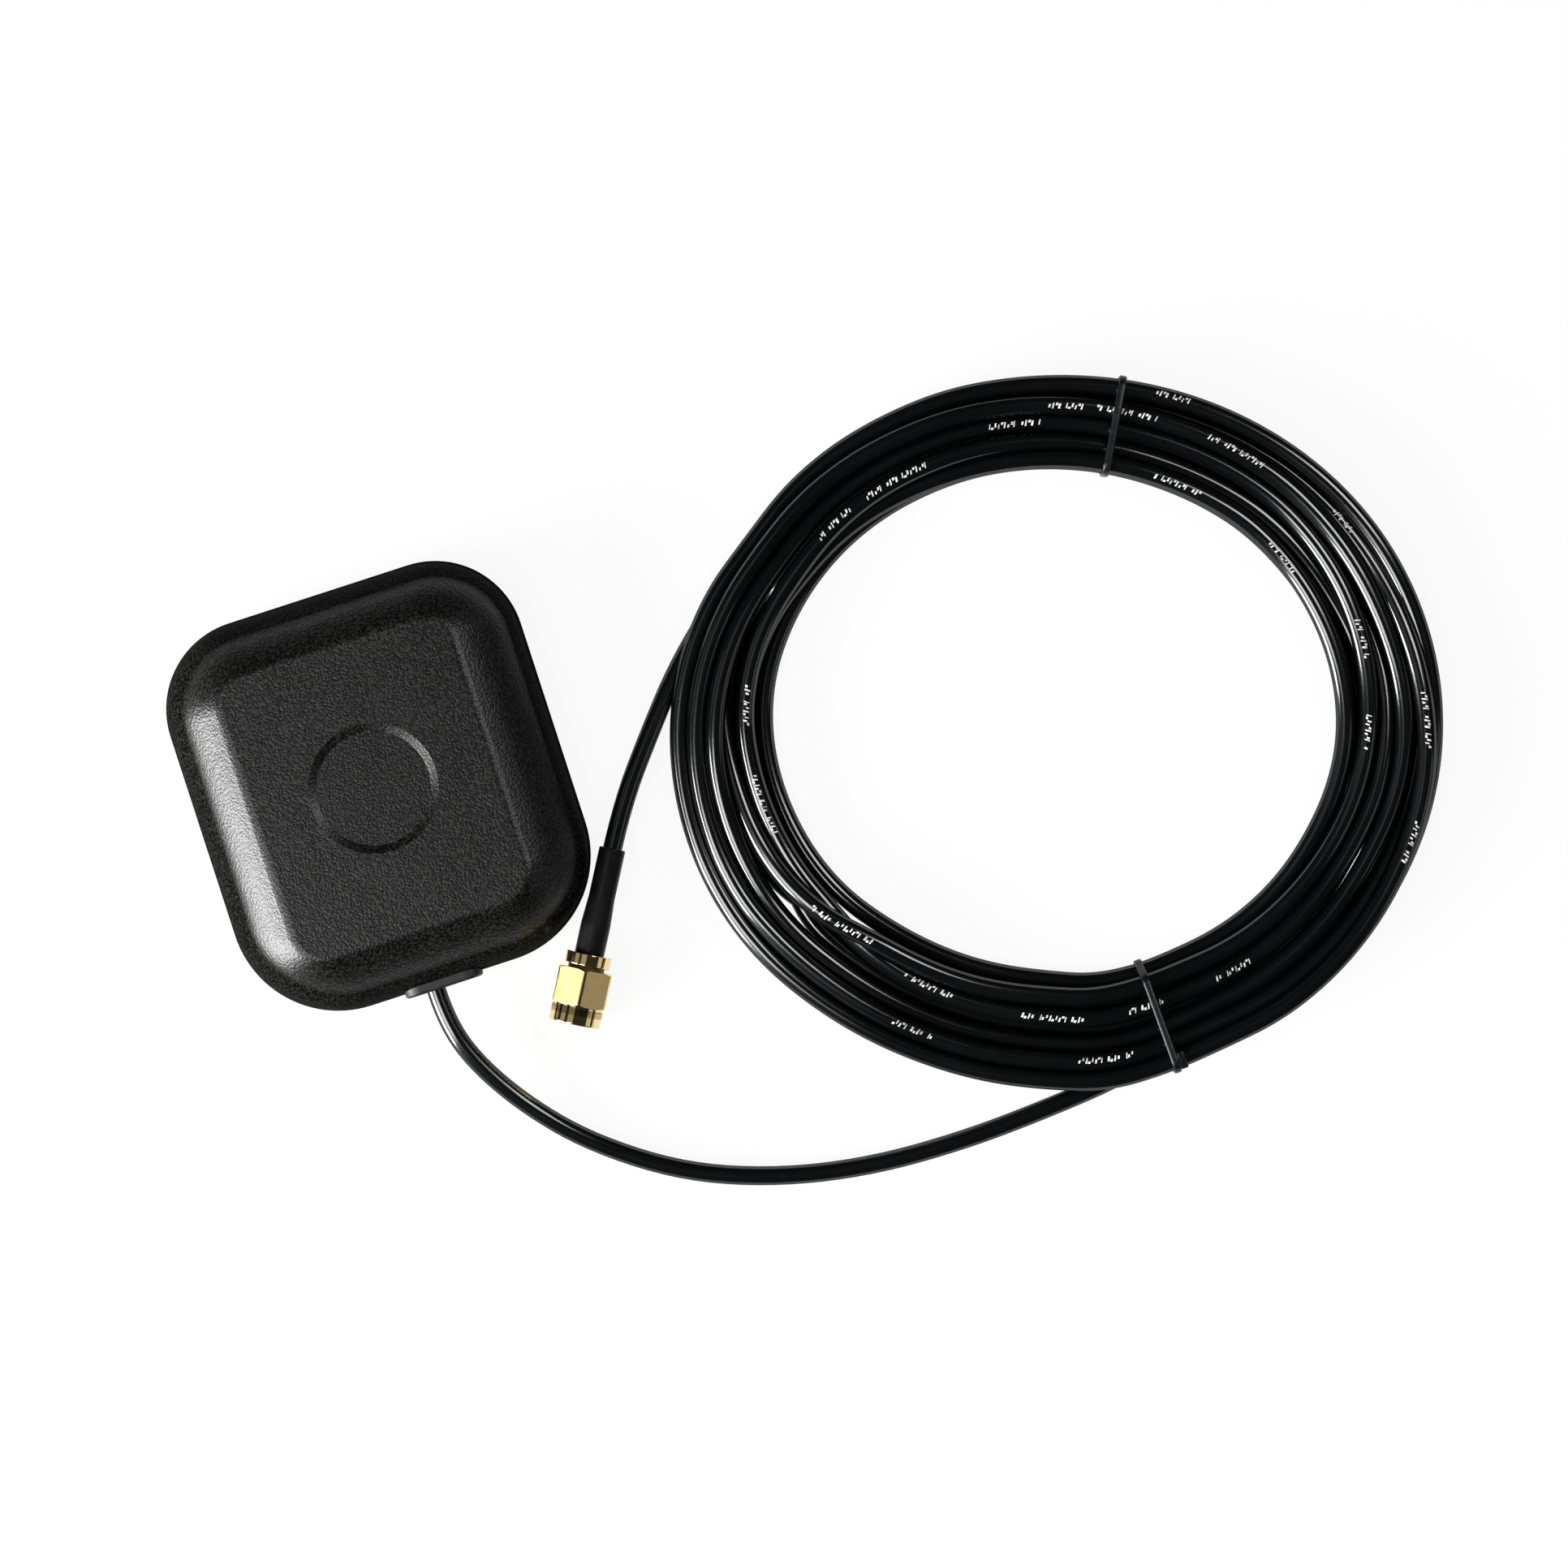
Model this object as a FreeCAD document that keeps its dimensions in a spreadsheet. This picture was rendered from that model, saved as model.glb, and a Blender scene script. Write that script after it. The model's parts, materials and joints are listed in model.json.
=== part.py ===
import FreeCAD
import Part

import math
import os

import Sketcher

# A puck-shaped satellite antenna with a magnetic base, a coiled thin coaxial cable and a screw-on plug.
# The origin is the middle of the puck's underside. +Z is up, +Y points away from the cable's exit.
# All lengths are in millimetres and all angles in degrees.

App = FreeCAD
os.makedirs("parts", exist_ok=True)
doc = App.newDocument("puck_antenna")

# Driving dimensions: name, value and what it measures.
SIZES = [
    ("case_width", 54.4, "across the base's rim, in X"),
    ("case_length", 60.2, "across the base's rim, in Y"),
    ("case_height", 16.0, "underside to platform"),
    ("rim_height", 5.0, "underside to the line where housing and base part"),
    ("rim_lip", 0.3, "how far the base's rim stands out past the housing"),
    ("far_corner_radius", 13.3, "outline corners away from the cable"),
    ("near_corner_radius", 16.0, "outline corners on the cable's side"),
    ("platform_width", 35.6, "flat top to the middle of its soft edge, in X"),
    ("platform_length", 43.5, "flat top to the middle of its soft edge, in Y"),
    ("platform_corner_radius", 4.5, "corners of the flat top"),
    ("shoulder_angle", 50.0, "how far the shoulder's curve turns from the wall to the platform"),
    ("edge_turn", 2.0, "end of the shoulder's turn, which the platform's soft edge replaces"),
    ("dish_radius", 9.5, "mouth of the shallow round dish in the platform"),
    ("dish_floor_radius", 8.3, "floor of the dish"),
    ("dish_depth", 0.5, "depth of the dish"),
    ("housing_wall", 2.0, "side wall of the housing"),
    ("housing_ceiling", 1.7, "thickness under the platform"),
    ("base_wall", 2.4, "side wall of the base"),
    ("base_floor", 1.8, "floor of the base"),
    ("base_draft", 0.4, "inset of the base's side above its rounded bottom edge"),
    ("base_edge", 1.0, "rounding of the bottom edge"),
    ("seal_width", 1.0, "width of the cord seal in the rim"),
    ("seal_height", 0.8, "height of the cord seal"),
    ("fit_gap", 0.05, "clearance between pieces that seat in one another"),
    ("screw_inset_x", 9.2, "case screws from the rim's sides"),
    ("screw_inset_y", 9.6, "case screws from the rim's ends"),
    ("screw_radius", 1.0, "shank of a case screw"),
    ("screw_head_radius", 1.8, "head of a case screw"),
    ("screw_head_height", 1.2, "head of a case screw"),
    ("screw_sink", 0.3, "depth of a screw's head under the underside"),
    ("screw_length", 7.5, "shank below the head"),
    ("screw_room", 0.15, "clearance round a screw's shank in the base"),
    ("screw_head_room", 0.2, "clearance round a screw's head in the base"),
    ("pilot_room", 0.5, "pilot hole past the screw's tip"),
    ("screw_recess_radius", 0.9, "radius of the driver recess in a screw's head"),
    ("screw_recess_depth", 0.6, "depth of the driver recess"),
    ("boss_radius", 2.6, "bosses round the screws"),
    ("boss_height", 3.4, "underside to the top of the base's bosses"),
    ("board_inset_x", 11.7, "circuit board from the rim's sides"),
    ("board_inset_y", 11.6, "circuit board from the rim's ends"),
    ("board_thickness", 1.0, "circuit board"),
    ("board_height", 6.4, "underside of the case to underside of the board"),
    ("post_inset", 3.0, "board posts from the board's edges"),
    ("post_radius", 1.6, "board posts"),
    ("peg_radius", 0.7, "pegs through the board"),
    ("peg_height", 0.6, "pegs above the board"),
    ("magnet_radius", 6.0, "disc magnets"),
    ("magnet_height", 3.0, "disc magnets"),
    ("magnet_inset", 11.7, "centres of the magnets from the rim's sides"),
    ("cup_wall", 0.9, "ring wall that holds a magnet"),
    ("cup_height", 2.0, "ring wall above the floor"),
    ("can_share", 0.82, "shield can, as a share of the room between the magnets' ring walls"),
    ("can_inset", 11.5, "shield can from the board's ends, in Y"),
    ("can_height", 2.2, "shield can"),
    ("can_wall", 0.3, "sheet of the shield can"),
    ("patch_inset", 3.0, "square ceramic patch from the board's nearer edges"),
    ("patch_room", 2.2, "solder head to the ceiling"),
    ("tape_thickness", 0.2, "adhesive under the patch"),
    ("tape_margin", 1.0, "how far the adhesive stays inside the patch's edge"),
    ("electrode_inset", 2.25, "silvered square from the patch's edges"),
    ("electrode_thickness", 0.1, "silvering"),
    ("feed_offset", 2.2, "feed pin from the patch's centre, in Y"),
    ("feed_radius", 0.5, "feed pin"),
    ("feed_head_radius", 1.0, "solder head on the feed pin"),
    ("feed_head_height", 0.4, "solder head"),
    ("feed_tail", 0.6, "feed pin below the board"),
    ("cable_radius", 1.425, "jacket of the cable"),
    ("cable_offset", -1.4, "cable from the case's middle plane, in X"),
    ("braid_radius", 1.1, "braid under the jacket"),
    ("insulation_radius", 0.75, "insulation round the cable's core"),
    ("core_radius", 0.25, "core of the cable"),
    ("braid_reach", 2.2, "bared braid past the jacket's end"),
    ("insulation_reach", 3.6, "bared insulation past the jacket's end"),
    ("core_reach", 4.6, "core past the jacket's end before it rises to the board"),
    ("core_rise", 1.5, "length in Y over which the core rises"),
    ("core_foot", 1.5, "length of core soldered flat under the board"),
    ("grommet_neck_width", 9.6, "grommet where it passes the wall"),
    ("grommet_neck_height", 4.4, "grommet where it passes the wall"),
    ("grommet_flange_width", 12.0, "grommet's outer flange"),
    ("grommet_flange_height", 5.0, "grommet's outer flange"),
    ("grommet_flange", 0.75, "thickness of the outer flange"),
    ("grommet_inner_width", 11.4, "grommet's inner flange"),
    ("grommet_inner_height", 5.2, "grommet's inner flange"),
    ("grommet_inner", 1.2, "thickness of the inner flange"),
    ("grommet_room", 0.5, "base's inner face to the inner flange, for the housing's curve"),
    ("grommet_edge", 0.5, "rounding of the outer flange"),
    ("crimp_radius", 2.3, "stop ring crimped on the cable"),
    ("crimp_length", 3.0, "stop ring"),
    ("rib_thickness", 1.0, "rib that the stop ring bears on"),
    ("rib_width", 8.0, "rib, in X"),
    ("jacket_reach", 1.0, "jacket past the rib, inside the case"),
    ("coil_x", 97.5, "middle of the coil's outer oval"),
    ("coil_y", -23.0, "middle of the coil's outer oval"),
    ("coil_long_radius", 57.35, "outer oval"),
    ("coil_short_radius", 52.65, "outer oval"),
    ("coil_turn", -11.9, "direction of the outer oval's long axis"),
    ("hole_x", 98.0, "middle of the coil's inner oval"),
    ("hole_y", -21.1, "middle of the coil's inner oval"),
    ("hole_long_radius", 41.48, "inner oval"),
    ("hole_short_radius", 36.97, "inner oval"),
    ("hole_turn", -22.5, "direction of the inner oval's long axis"),
    ("coil_height", 5.5, "thickness of the wound bundle"),
    ("coil_edge", 1.4, "bevel of the bundle's section"),
    ("tie_corner", 2.3, "rounding of a tie's inside corners"),
    ("tie_thickness", 0.8, "band of a cable tie"),
    ("tie_width", 1.4, "band of a cable tie"),
    ("tie_slack", 0.2, "clearance between a tie and the bundle"),
    ("upper_tie_angle", 61.5, "place of the far tie round the coil"),
    ("lower_tie_angle", -88.4, "place of the near tie round the coil"),
    ("tab_length", 2.6, "loose end of the near tie"),
    ("cut_room", 1.0, "how far a cutting tool reaches past the face that it cuts"),
    ("sleeve_length", 15.9, "shrink sleeve behind the plug"),
    ("sleeve_front_radius", 2.2, "shrink sleeve over the ferrule"),
    ("sleeve_rear_radius", 1.95, "shrink sleeve over the cable"),
    ("sleeve_grip", 1.0, "how far the free cable reaches into the sleeve"),
    ("collar_radius", 3.4, "round collar of the plug's body"),
    ("collar_length", 2.0, "round collar of the plug's body"),
    ("nut_gap", 0.3, "nut's rear face to the collar"),
    ("hex_flats", 7.94, "across the nut's flats"),
    ("hex_length", 5.45, "hexagonal part of the nut"),
    ("nut_turn", 3.0, "turn of the nut from a corner straight up"),
    ("hex_chamfer_radius", 4.08, "where the end chamfers meet the nut's faces"),
    ("hex_chamfer_slope", 30.0, "slope of the end chamfers"),
    ("skirt_radius", 3.82, "round front of the nut"),
    ("skirt_length", 2.8, "round front of the nut"),
    ("skirt_edge", 0.25, "rounding of the nut's front edge"),
    ("thread_radius", 2.95, "threaded bore of the nut, at the thread's crests"),
    ("thread_depth", 5.0, "threaded bore of the nut"),
    ("thread_mouth", 0.35, "lead-in chamfer of the bore"),
    ("body_radius", 2.7, "plug body inside the nut"),
    ("running_gap", 0.05, "radial clearance between nut and body"),
    ("shoulder_depth", 4.0, "nut's front to the body's shoulder"),
    ("barrel_depth", 2.6, "nut's front to the end of the outer contact"),
    ("barrel_radius", 2.275, "outside of the outer contact"),
    ("barrel_bore", 2.02, "inside of the outer contact"),
    ("barrel_bore_depth", 5.6, "nut's front to the bottom of the outer contact"),
    ("ring_depth", 6.5, "nut's front to the snap ring"),
    ("ring_thickness", 0.6, "snap ring"),
    ("ring_inner_radius", 2.35, "snap ring"),
    ("ring_outer_radius", 3.1, "snap ring"),
    ("ring_mouth", 40.0, "open angle of the snap ring"),
    ("ring_play", 0.1, "snap ring in the body's groove, each side"),
    ("groove_play", 0.15, "snap ring in the nut's groove, each side"),
    ("gasket_thickness", 0.6, "gasket against the shoulder"),
    ("gasket_radius", 2.85, "outside of the gasket"),
    ("pin_radius", 0.46, "contact pin"),
    ("pin_depth", 0.7, "nut's front to the pin's tip"),
    ("pin_tip", 0.3, "cone at the pin's tip"),
    ("pin_lip", 0.1, "lip of the insulator that stops the pin's root"),
    ("pin_root_radius", 0.62, "pin inside its insulator"),
    ("stem_radius", 1.25, "crimp stem behind the collar"),
    ("stem_bore", 0.9, "hole through the body for the cable's insulation"),
    ("ferrule_length", 5.4, "crimp ferrule"),
    ("ferrule_radius", 1.85, "crimp ferrule"),
    ("sleeve_taper_start", 1.0, "where the sleeve begins to narrow, before the ferrule's end"),
    ("sleeve_taper_end", 3.0, "where the sleeve has narrowed, past the ferrule's end"),
    ("sleeve_step_start", 0.1, "where the sleeve's bore begins to narrow, past the ferrule's end"),
    ("sleeve_step_end", 0.5, "where the sleeve's bore has narrowed, past the ferrule's end"),
    ("plug_lift", 0.015, "lowest corner of the nut above the surface"),
]

sheet = doc.addObject("Spreadsheet::Sheet", "Sizes")
for line, (alias, value, meaning) in enumerate(SIZES, start=1):
    sheet.set(f"A{line}", alias)
    sheet.set(f"B{line}", str(value))
    sheet.set(f"C{line}", meaning)
    sheet.setAlias(f"B{line}", alias)
doc.recompute()

NAMES = [alias for alias, value, meaning in SIZES]
NODES = {}

# Lengths closer than this are the same when edges are picked by their place.
NEAR = 0.001


def bound(text):
    """An expression on the sheet's cells, from a formula that uses their bare names."""
    words = []
    word = ""
    for letter in text + " ":
        if letter.isalnum() or letter == "_":
            word += letter
        else:
            words.append("Sizes." + word if word in NAMES else word)
            words.append(letter)
            word = ""
    return "".join(words).strip()


def value_of(text):
    """The number that a formula gives now."""
    return float(sheet.evalExpression(bound(text)))


def keep(node, piece):
    """Files a finished piece under its node's name."""
    piece.Label = node
    NODES[node] = piece
    return piece


def move(piece, x="0", y="0", z="0"):
    """Binds a piece's place to the sheet."""
    piece.setExpression(".Placement.Base.x", bound(x))
    piece.setExpression(".Placement.Base.y", bound(y))
    piece.setExpression(".Placement.Base.z", bound(z))
    return piece


def block(name, width, length, height, x="0", y="0", z="0"):
    """A box centred on x and y that stands on z."""
    box = doc.addObject("Part::Box", name)
    box.setExpression("Length", bound(width))
    box.setExpression("Width", bound(length))
    box.setExpression("Height", bound(height))
    return move(box, f"{x} - ({width}) / 2", f"{y} - ({length}) / 2", z)


def rod(name, radius, height, x="0", y="0", z="0"):
    """An upright cylinder that stands on z."""
    cylinder = doc.addObject("Part::Cylinder", name)
    cylinder.setExpression("Radius", bound(radius))
    cylinder.setExpression("Height", bound(height))
    return move(cylinder, x, y, z)


def lying_rod(name, radius, length, x, y, z):
    """A cylinder along +Y from y."""
    cylinder = rod(name, radius, length, x, y, z)
    cylinder.Placement.Rotation = App.Rotation(App.Vector(1, 0, 0), -90)
    return cylinder


def cut(name, base, tool):
    result = doc.addObject("Part::Cut", name)
    result.Base = base
    result.Tool = tool
    return result


def fuse(name, pieces):
    result = doc.addObject("Part::MultiFuse", name)
    result.Shapes = pieces
    result.Refine = True
    return result


def group(name, pieces):
    """Separate solids under one name."""
    result = doc.addObject("Part::Compound", name)
    result.Links = pieces
    return result


def four(name, make, spacing_x, spacing_y):
    """Four like pieces at the corners of a rectangle."""
    made = []
    for count, (side_x, side_y) in enumerate([("", ""), ("-", ""), ("-", "-"), ("", "-")]):
        x = f"{side_x}{spacing_x} / 2"
        y = f"{side_y}{spacing_y} / 2"
        made.append(make(f"{name}_{count}", x, y))
    return made


def screw_tool(radius, low, high):
    """A maker of upright cylinders between two heights, for the function that makes four."""
    return lambda name, x, y: rod(name, radius, f"({high}) - ({low})", x, y, low)


def new_sketch(body, name, plane="XY_Plane", height="0"):
    """A sketch on one of its body's own planes, lifted by height."""
    sketch = body.newObject("Sketcher::SketchObject", name)
    planes = [feature for feature in body.Origin.OriginFeatures if feature.Role == plane]
    sketch.AttachmentSupport = [(planes[0], "")]
    sketch.MapMode = "FlatFace"
    sketch.setExpression(".AttachmentOffset.Base.z", bound(height))
    return sketch


def drive(sketch, name, constraint, formula):
    """Adds a dimension and binds it to the sheet."""
    sketch.addConstraint(constraint)
    sketch.renameConstraint(sketch.ConstraintCount - 1, name)
    sketch.setExpression(f"Constraints.{name}", bound(formula))


def tangent_chain(sketch, count):
    """Joins consecutive edges of a closed outline end to start, smoothly."""
    for edge in range(count):
        sketch.addConstraint(Sketcher.Constraint("Tangent", edge, 2, (edge + 1) % count, 1))


def rounded_rectangle(body, name, width, length, far_radius, near_radius, height="0", plane="XY_Plane"):
    """A rounded rectangle about the origin, with one radius for its far corners and one for the near."""
    sketch = new_sketch(body, name, plane, height)
    right = value_of(width) / 2
    top = value_of(length) / 2
    far = value_of(far_radius)
    near = value_of(near_radius)
    up = App.Vector(0, 0, 1)
    corners = [
        (right, top, far, 0),
        (-right, top, far, 90),
        (-right, -top, near, 180),
        (right, -top, near, 270),
    ]
    arcs = []
    for x, y, radius, start in corners:
        centre = App.Vector(x - math.copysign(radius, x), y - math.copysign(radius, y), 0)
        circle = Part.Circle(centre, up, radius)
        arcs.append(Part.ArcOfCircle(circle, math.radians(start), math.radians(start + 90)))
    for count, arc in enumerate(arcs):
        following = arcs[(count + 1) % 4]
        sketch.addGeometry(arc, False)
        sketch.addGeometry(Part.LineSegment(arc.EndPoint, following.StartPoint), False)
    tangent_chain(sketch, 8)
    top_line, left_line, bottom_line, right_line = 1, 3, 5, 7
    for line in (top_line, bottom_line):
        sketch.addConstraint(Sketcher.Constraint("Horizontal", line))
    for line in (left_line, right_line):
        sketch.addConstraint(Sketcher.Constraint("Vertical", line))
    sketch.addConstraint(Sketcher.Constraint("Equal", 0, 2))
    sketch.addConstraint(Sketcher.Constraint("Equal", 4, 6))
    drive(sketch, "far", Sketcher.Constraint("Radius", 0, far), far_radius)
    drive(sketch, "near", Sketcher.Constraint("Radius", 4, near), near_radius)
    drive(sketch, "right", Sketcher.Constraint("DistanceX", -1, 1, right_line, 1, right), f"({width}) / 2")
    drive(sketch, "left", Sketcher.Constraint("DistanceX", left_line, 1, -1, 1, right), f"({width}) / 2")
    drive(sketch, "top", Sketcher.Constraint("DistanceY", -1, 1, top_line, 1, top), f"({length}) / 2")
    drive(sketch, "bottom", Sketcher.Constraint("DistanceY", bottom_line, 1, -1, 1, top), f"({length}) / 2")
    return sketch


def outline(body, name, points, plane="XZ_Plane"):
    """A closed outline of straight edges: each corner is a pair of formulas, none below zero."""
    sketch = new_sketch(body, name, plane)
    places = [App.Vector(value_of(x), value_of(y), 0) for x, y in points]
    for count, place in enumerate(places):
        sketch.addGeometry(Part.LineSegment(place, places[(count + 1) % len(places)]), False)
    for count in range(len(places)):
        following = (count + 1) % len(places)
        sketch.addConstraint(Sketcher.Constraint("Coincident", count, 2, following, 1))
    for count, (x, y) in enumerate(points):
        for letter, formula, kind, axis in (("x", x, "DistanceX", -2), ("y", y, "DistanceY", -1)):
            if formula == "0":
                sketch.addConstraint(Sketcher.Constraint("PointOnObject", count, 1, axis))
            else:
                rule = Sketcher.Constraint(kind, -1, 1, count, 1, value_of(formula))
                drive(sketch, f"{letter}{count}", rule, formula)
    return sketch


def turned(node, points):
    """A body turned about its own Z axis: points are (radius, distance behind the nut's front)."""
    body = doc.addObject("PartDesign::Body", node)
    feature = body.newObject("PartDesign::Revolution", node + "_turned")
    feature.Profile = outline(body, node + "_outline", points)
    feature.ReferenceAxis = (feature.Profile[0], ["V_Axis"])
    feature.Angle = 360
    body.Tip = feature
    return body


def pad(body, name, sketch, length, reversed_way=False):
    feature = body.newObject("PartDesign::Pad", name)
    feature.Profile = sketch
    feature.setExpression("Length", bound(length))
    feature.Reversed = reversed_way
    body.Tip = feature
    return feature


def loft(body, name, sections):
    feature = body.newObject("PartDesign::AdditiveLoft", name)
    feature.Profile = sections[0]
    feature.Sections = sections[1:]
    body.Tip = feature
    return feature


# Case forms: the housing's pillow, its hollow and the base's tray. A place on the shoulder's curve is a pair
# of shares: how far the curve has come inward and upward on its way from the rim to the platform.
PILLOW_STEPS = 6
EDGE_STEPS = 3
HOLLOW_STEPS = 3


def shoulder_share(angle):
    """The shoulder's shares where its curve has turned by an angle."""
    whole = "(shoulder_angle * 1deg)"
    so_far = f"({angle} * 1deg)"
    inward = f"((1 - cos{so_far}) / (1 - cos{whole}))"
    upward = f"(sin{so_far} / sin{whole})"
    return inward, upward


def shoulder(last_angle, steps):
    """Shares at even steps of the shoulder's angle, from the rim on."""
    return [shoulder_share(f"({last_angle} * {step} / {steps})") for step in range(steps + 1)]


def soft_edge(first_angle):
    """Shares on a parabola that leads from the shoulder's slope at an angle into the flat platform."""
    start_in, start_up = shoulder_share(first_angle)
    slope = f"((1 - cos(shoulder_angle * 1deg)) / sin(shoulder_angle * 1deg) / tan({first_angle} * 1deg))"
    reach_in = f"((1 - {start_up}) / {slope})"
    shares = []
    for step in range(EDGE_STEPS + 1):
        left = EDGE_STEPS - step
        inward = f"({start_in} + {reach_in} * {2 * step} / {EDGE_STEPS})"
        upward = f"(1 - (1 - {start_up}) * {left * left} / {EDGE_STEPS * EDGE_STEPS})"
        shares.append((inward, upward))
    return shares


def pillow(name, width, length, far, near, flat_width, flat_length, flat_corner, bottom, top, runs, smooth):
    """A form that leaves its rim upright and curves over to a flat top: each run of shares is one loft."""
    body = doc.addObject("PartDesign::Body", name)
    for count, shares in enumerate(runs):
        sections = []
        for step, (inward, upward) in enumerate(shares):
            section = rounded_rectangle(
                body,
                f"{name}_section_{count}_{step}",
                f"({width}) - (({width}) - ({flat_width})) * {inward}",
                f"({length}) - (({length}) - ({flat_length})) * {inward}",
                f"({far}) - (({far}) - ({flat_corner})) * {inward}",
                f"({near}) - (({near}) - ({flat_corner})) * {inward}",
                f"({bottom}) + (({top}) - ({bottom})) * {upward}",
            )
            sections.append(section)
        doc.recompute()
        form = loft(body, f"{name}_loft_{count}", sections)
        form.Ruled = not smooth
    return body


# Housing: a thin moulded shell with four screw bosses that run from the ceiling to the base
edge_angle = "(shoulder_angle - edge_turn)"
housing_form = pillow(
    "housing_form",
    "case_width - 2 * rim_lip",
    "case_length - 2 * rim_lip",
    "far_corner_radius - rim_lip",
    "near_corner_radius - rim_lip",
    "platform_width",
    "platform_length",
    "platform_corner_radius",
    "rim_height",
    "case_height",
    [shoulder(edge_angle, PILLOW_STEPS), soft_edge(edge_angle)],
    True,
)
housing_hollow = pillow(
    "housing_hollow",
    "case_width - 2 * rim_lip - 2 * housing_wall",
    "case_length - 2 * rim_lip - 2 * housing_wall",
    "far_corner_radius - rim_lip - housing_wall",
    "near_corner_radius - rim_lip - housing_wall",
    "platform_width - housing_wall",
    "platform_length - housing_wall",
    "platform_corner_radius - housing_wall / 2",
    "rim_height",
    "case_height - housing_ceiling",
    [shoulder("shoulder_angle", HOLLOW_STEPS)],
    False,
)


screws_x = "(case_width - 2 * screw_inset_x)"
screws_y = "(case_length - 2 * screw_inset_y)"
boss_cores = four("boss_core", screw_tool("boss_radius", "rim_height", "case_height"), screws_x, screws_y)
hollow_round_bosses = cut("hollow_round_bosses", housing_hollow, fuse("boss_cores", boss_cores))
boss_feet = four("boss_foot", screw_tool("boss_radius", "boss_height", "(rim_height + cut_room)"),
                 screws_x, screws_y)
pilot_top = "(screw_sink + screw_head_height + screw_length + pilot_room)"
pilot_holes = four("pilot_hole", screw_tool("screw_radius + fit_gap", "0", pilot_top),
                   screws_x, screws_y)

dish = doc.addObject("Part::Cone", "dish")
dish.setExpression("Radius1", bound("dish_floor_radius"))
dish.setExpression("Radius2", bound("dish_radius"))
dish.setExpression("Height", bound("dish_depth"))
move(dish, "0", "0", "case_height - dish_depth")


# A hair of straight edge that stays between two corners, so that an outline keeps all its edges
SHORTEST_EDGE = 0.001


def capsule(name, width, height, depth, y):
    """A flat bar with round ends, lying across the wall at the parting line, from y towards +Y."""
    body = doc.addObject("PartDesign::Body", name)
    corner = f"({height}) / 2 - {SHORTEST_EDGE}"
    sketch = rounded_rectangle(body, name + "_outline", width, height, corner, corner, "0", "XZ_Plane")
    pad(body, name + "_pad", sketch, depth, True)
    return move(body, "0", y, "rim_height")


wall_face = "-case_length / 2"
inner_face = "(-case_length / 2 + base_wall + grommet_room)"
neck_slot = capsule(
    "neck_slot",
    "grommet_neck_width + 2 * fit_gap",
    "grommet_neck_height + 2 * fit_gap",
    "base_wall + grommet_room + 2 * cut_room",
    f"{wall_face} - cut_room",
)
housing_shell = cut("housing_shell", housing_form, hollow_round_bosses)
housing_with_feet = fuse("housing_with_feet", [housing_shell] + boss_feet)
housing_cuts = fuse("housing_cuts", pilot_holes + [dish, neck_slot])
upper_housing = keep("upper_housing", cut("upper_housing", housing_with_feet, housing_cuts))

# Base: a shallow tray with a rounded bottom edge, screw bosses, board posts, magnet cups and a cable rib
base_form = doc.addObject("PartDesign::Body", "base_form")
base_foot = rounded_rectangle(
    base_form,
    "base_foot",
    "case_width - 2 * base_draft",
    "case_length - 2 * base_draft",
    "far_corner_radius - base_draft",
    "near_corner_radius - base_draft",
)
drafted = pad(base_form, "base_drafted", base_foot, "rim_height")
drafted.setExpression("TaperAngle", bound("atan(base_draft / rim_height)"))
doc.recompute()
bottom_edges = [f"Edge{number}" for number, edge in enumerate(drafted.Shape.Edges, start=1)
                if edge.BoundBox.ZMax < NEAR]
rounded_edge = base_form.newObject("PartDesign::Fillet", "base_rounded_edge")
rounded_edge.Base = (drafted, bottom_edges)
rounded_edge.setExpression("Radius", bound("base_edge"))
base_form.Tip = rounded_edge

base_hollow = doc.addObject("PartDesign::Body", "base_hollow")
base_hollow_outline = rounded_rectangle(
    base_hollow,
    "base_hollow_outline",
    "case_width - 2 * base_wall",
    "case_length - 2 * base_wall",
    "far_corner_radius - base_wall",
    "near_corner_radius - base_wall",
    "base_floor",
)
pad(base_hollow, "base_hollow_pad", base_hollow_outline, "rim_height")


def rim_band(name, width, low, height):
    """A closed band of the given width along the middle of the base's wall."""
    body = doc.addObject("PartDesign::Body", name)

    def edge(label, inset):
        return rounded_rectangle(
            body,
            f"{name}_{label}",
            f"case_width - 2 * {inset}",
            f"case_length - 2 * {inset}",
            f"far_corner_radius - {inset}",
            f"near_corner_radius - {inset}",
            low,
        )

    outside = edge("outside", f"((base_wall - ({width})) / 2)")
    inside = edge("inside", f"((base_wall + ({width})) / 2)")
    pad(body, name + "_pad", outside, height)
    pocket = body.newObject("PartDesign::Pocket", name + "_pocket")
    pocket.Profile = inside
    pocket.setExpression("Length", bound(height))
    pocket.Reversed = True
    body.Tip = pocket
    return body


seal_groove = rim_band("seal_groove", "seal_width + 2 * fit_gap", "rim_height - seal_height", "seal_height")
seal_band = rim_band("seal_band", "seal_width", "rim_height - seal_height", "seal_height")
case_seal = keep("case_seal", cut("case_seal", seal_band, neck_slot))

board_width = "(case_width - 2 * board_inset_x)"
board_length = "(case_length - 2 * board_inset_y)"
posts_x = f"({board_width} - 2 * post_inset)"
posts_y = f"({board_length} - 2 * post_inset)"
magnet_spacing = "(case_width - 2 * magnet_inset)"

base_bosses = four("base_boss", screw_tool("boss_radius", "base_floor / 2", "boss_height"),
                   screws_x, screws_y)
posts = four("post", screw_tool("post_radius", "base_floor / 2", "board_height"),
             posts_x, posts_y)
peg_top = "(board_height + board_thickness + peg_height)"
pegs = four("peg", screw_tool("peg_radius", "board_height - cut_room", peg_top),
            posts_x, posts_y)

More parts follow.
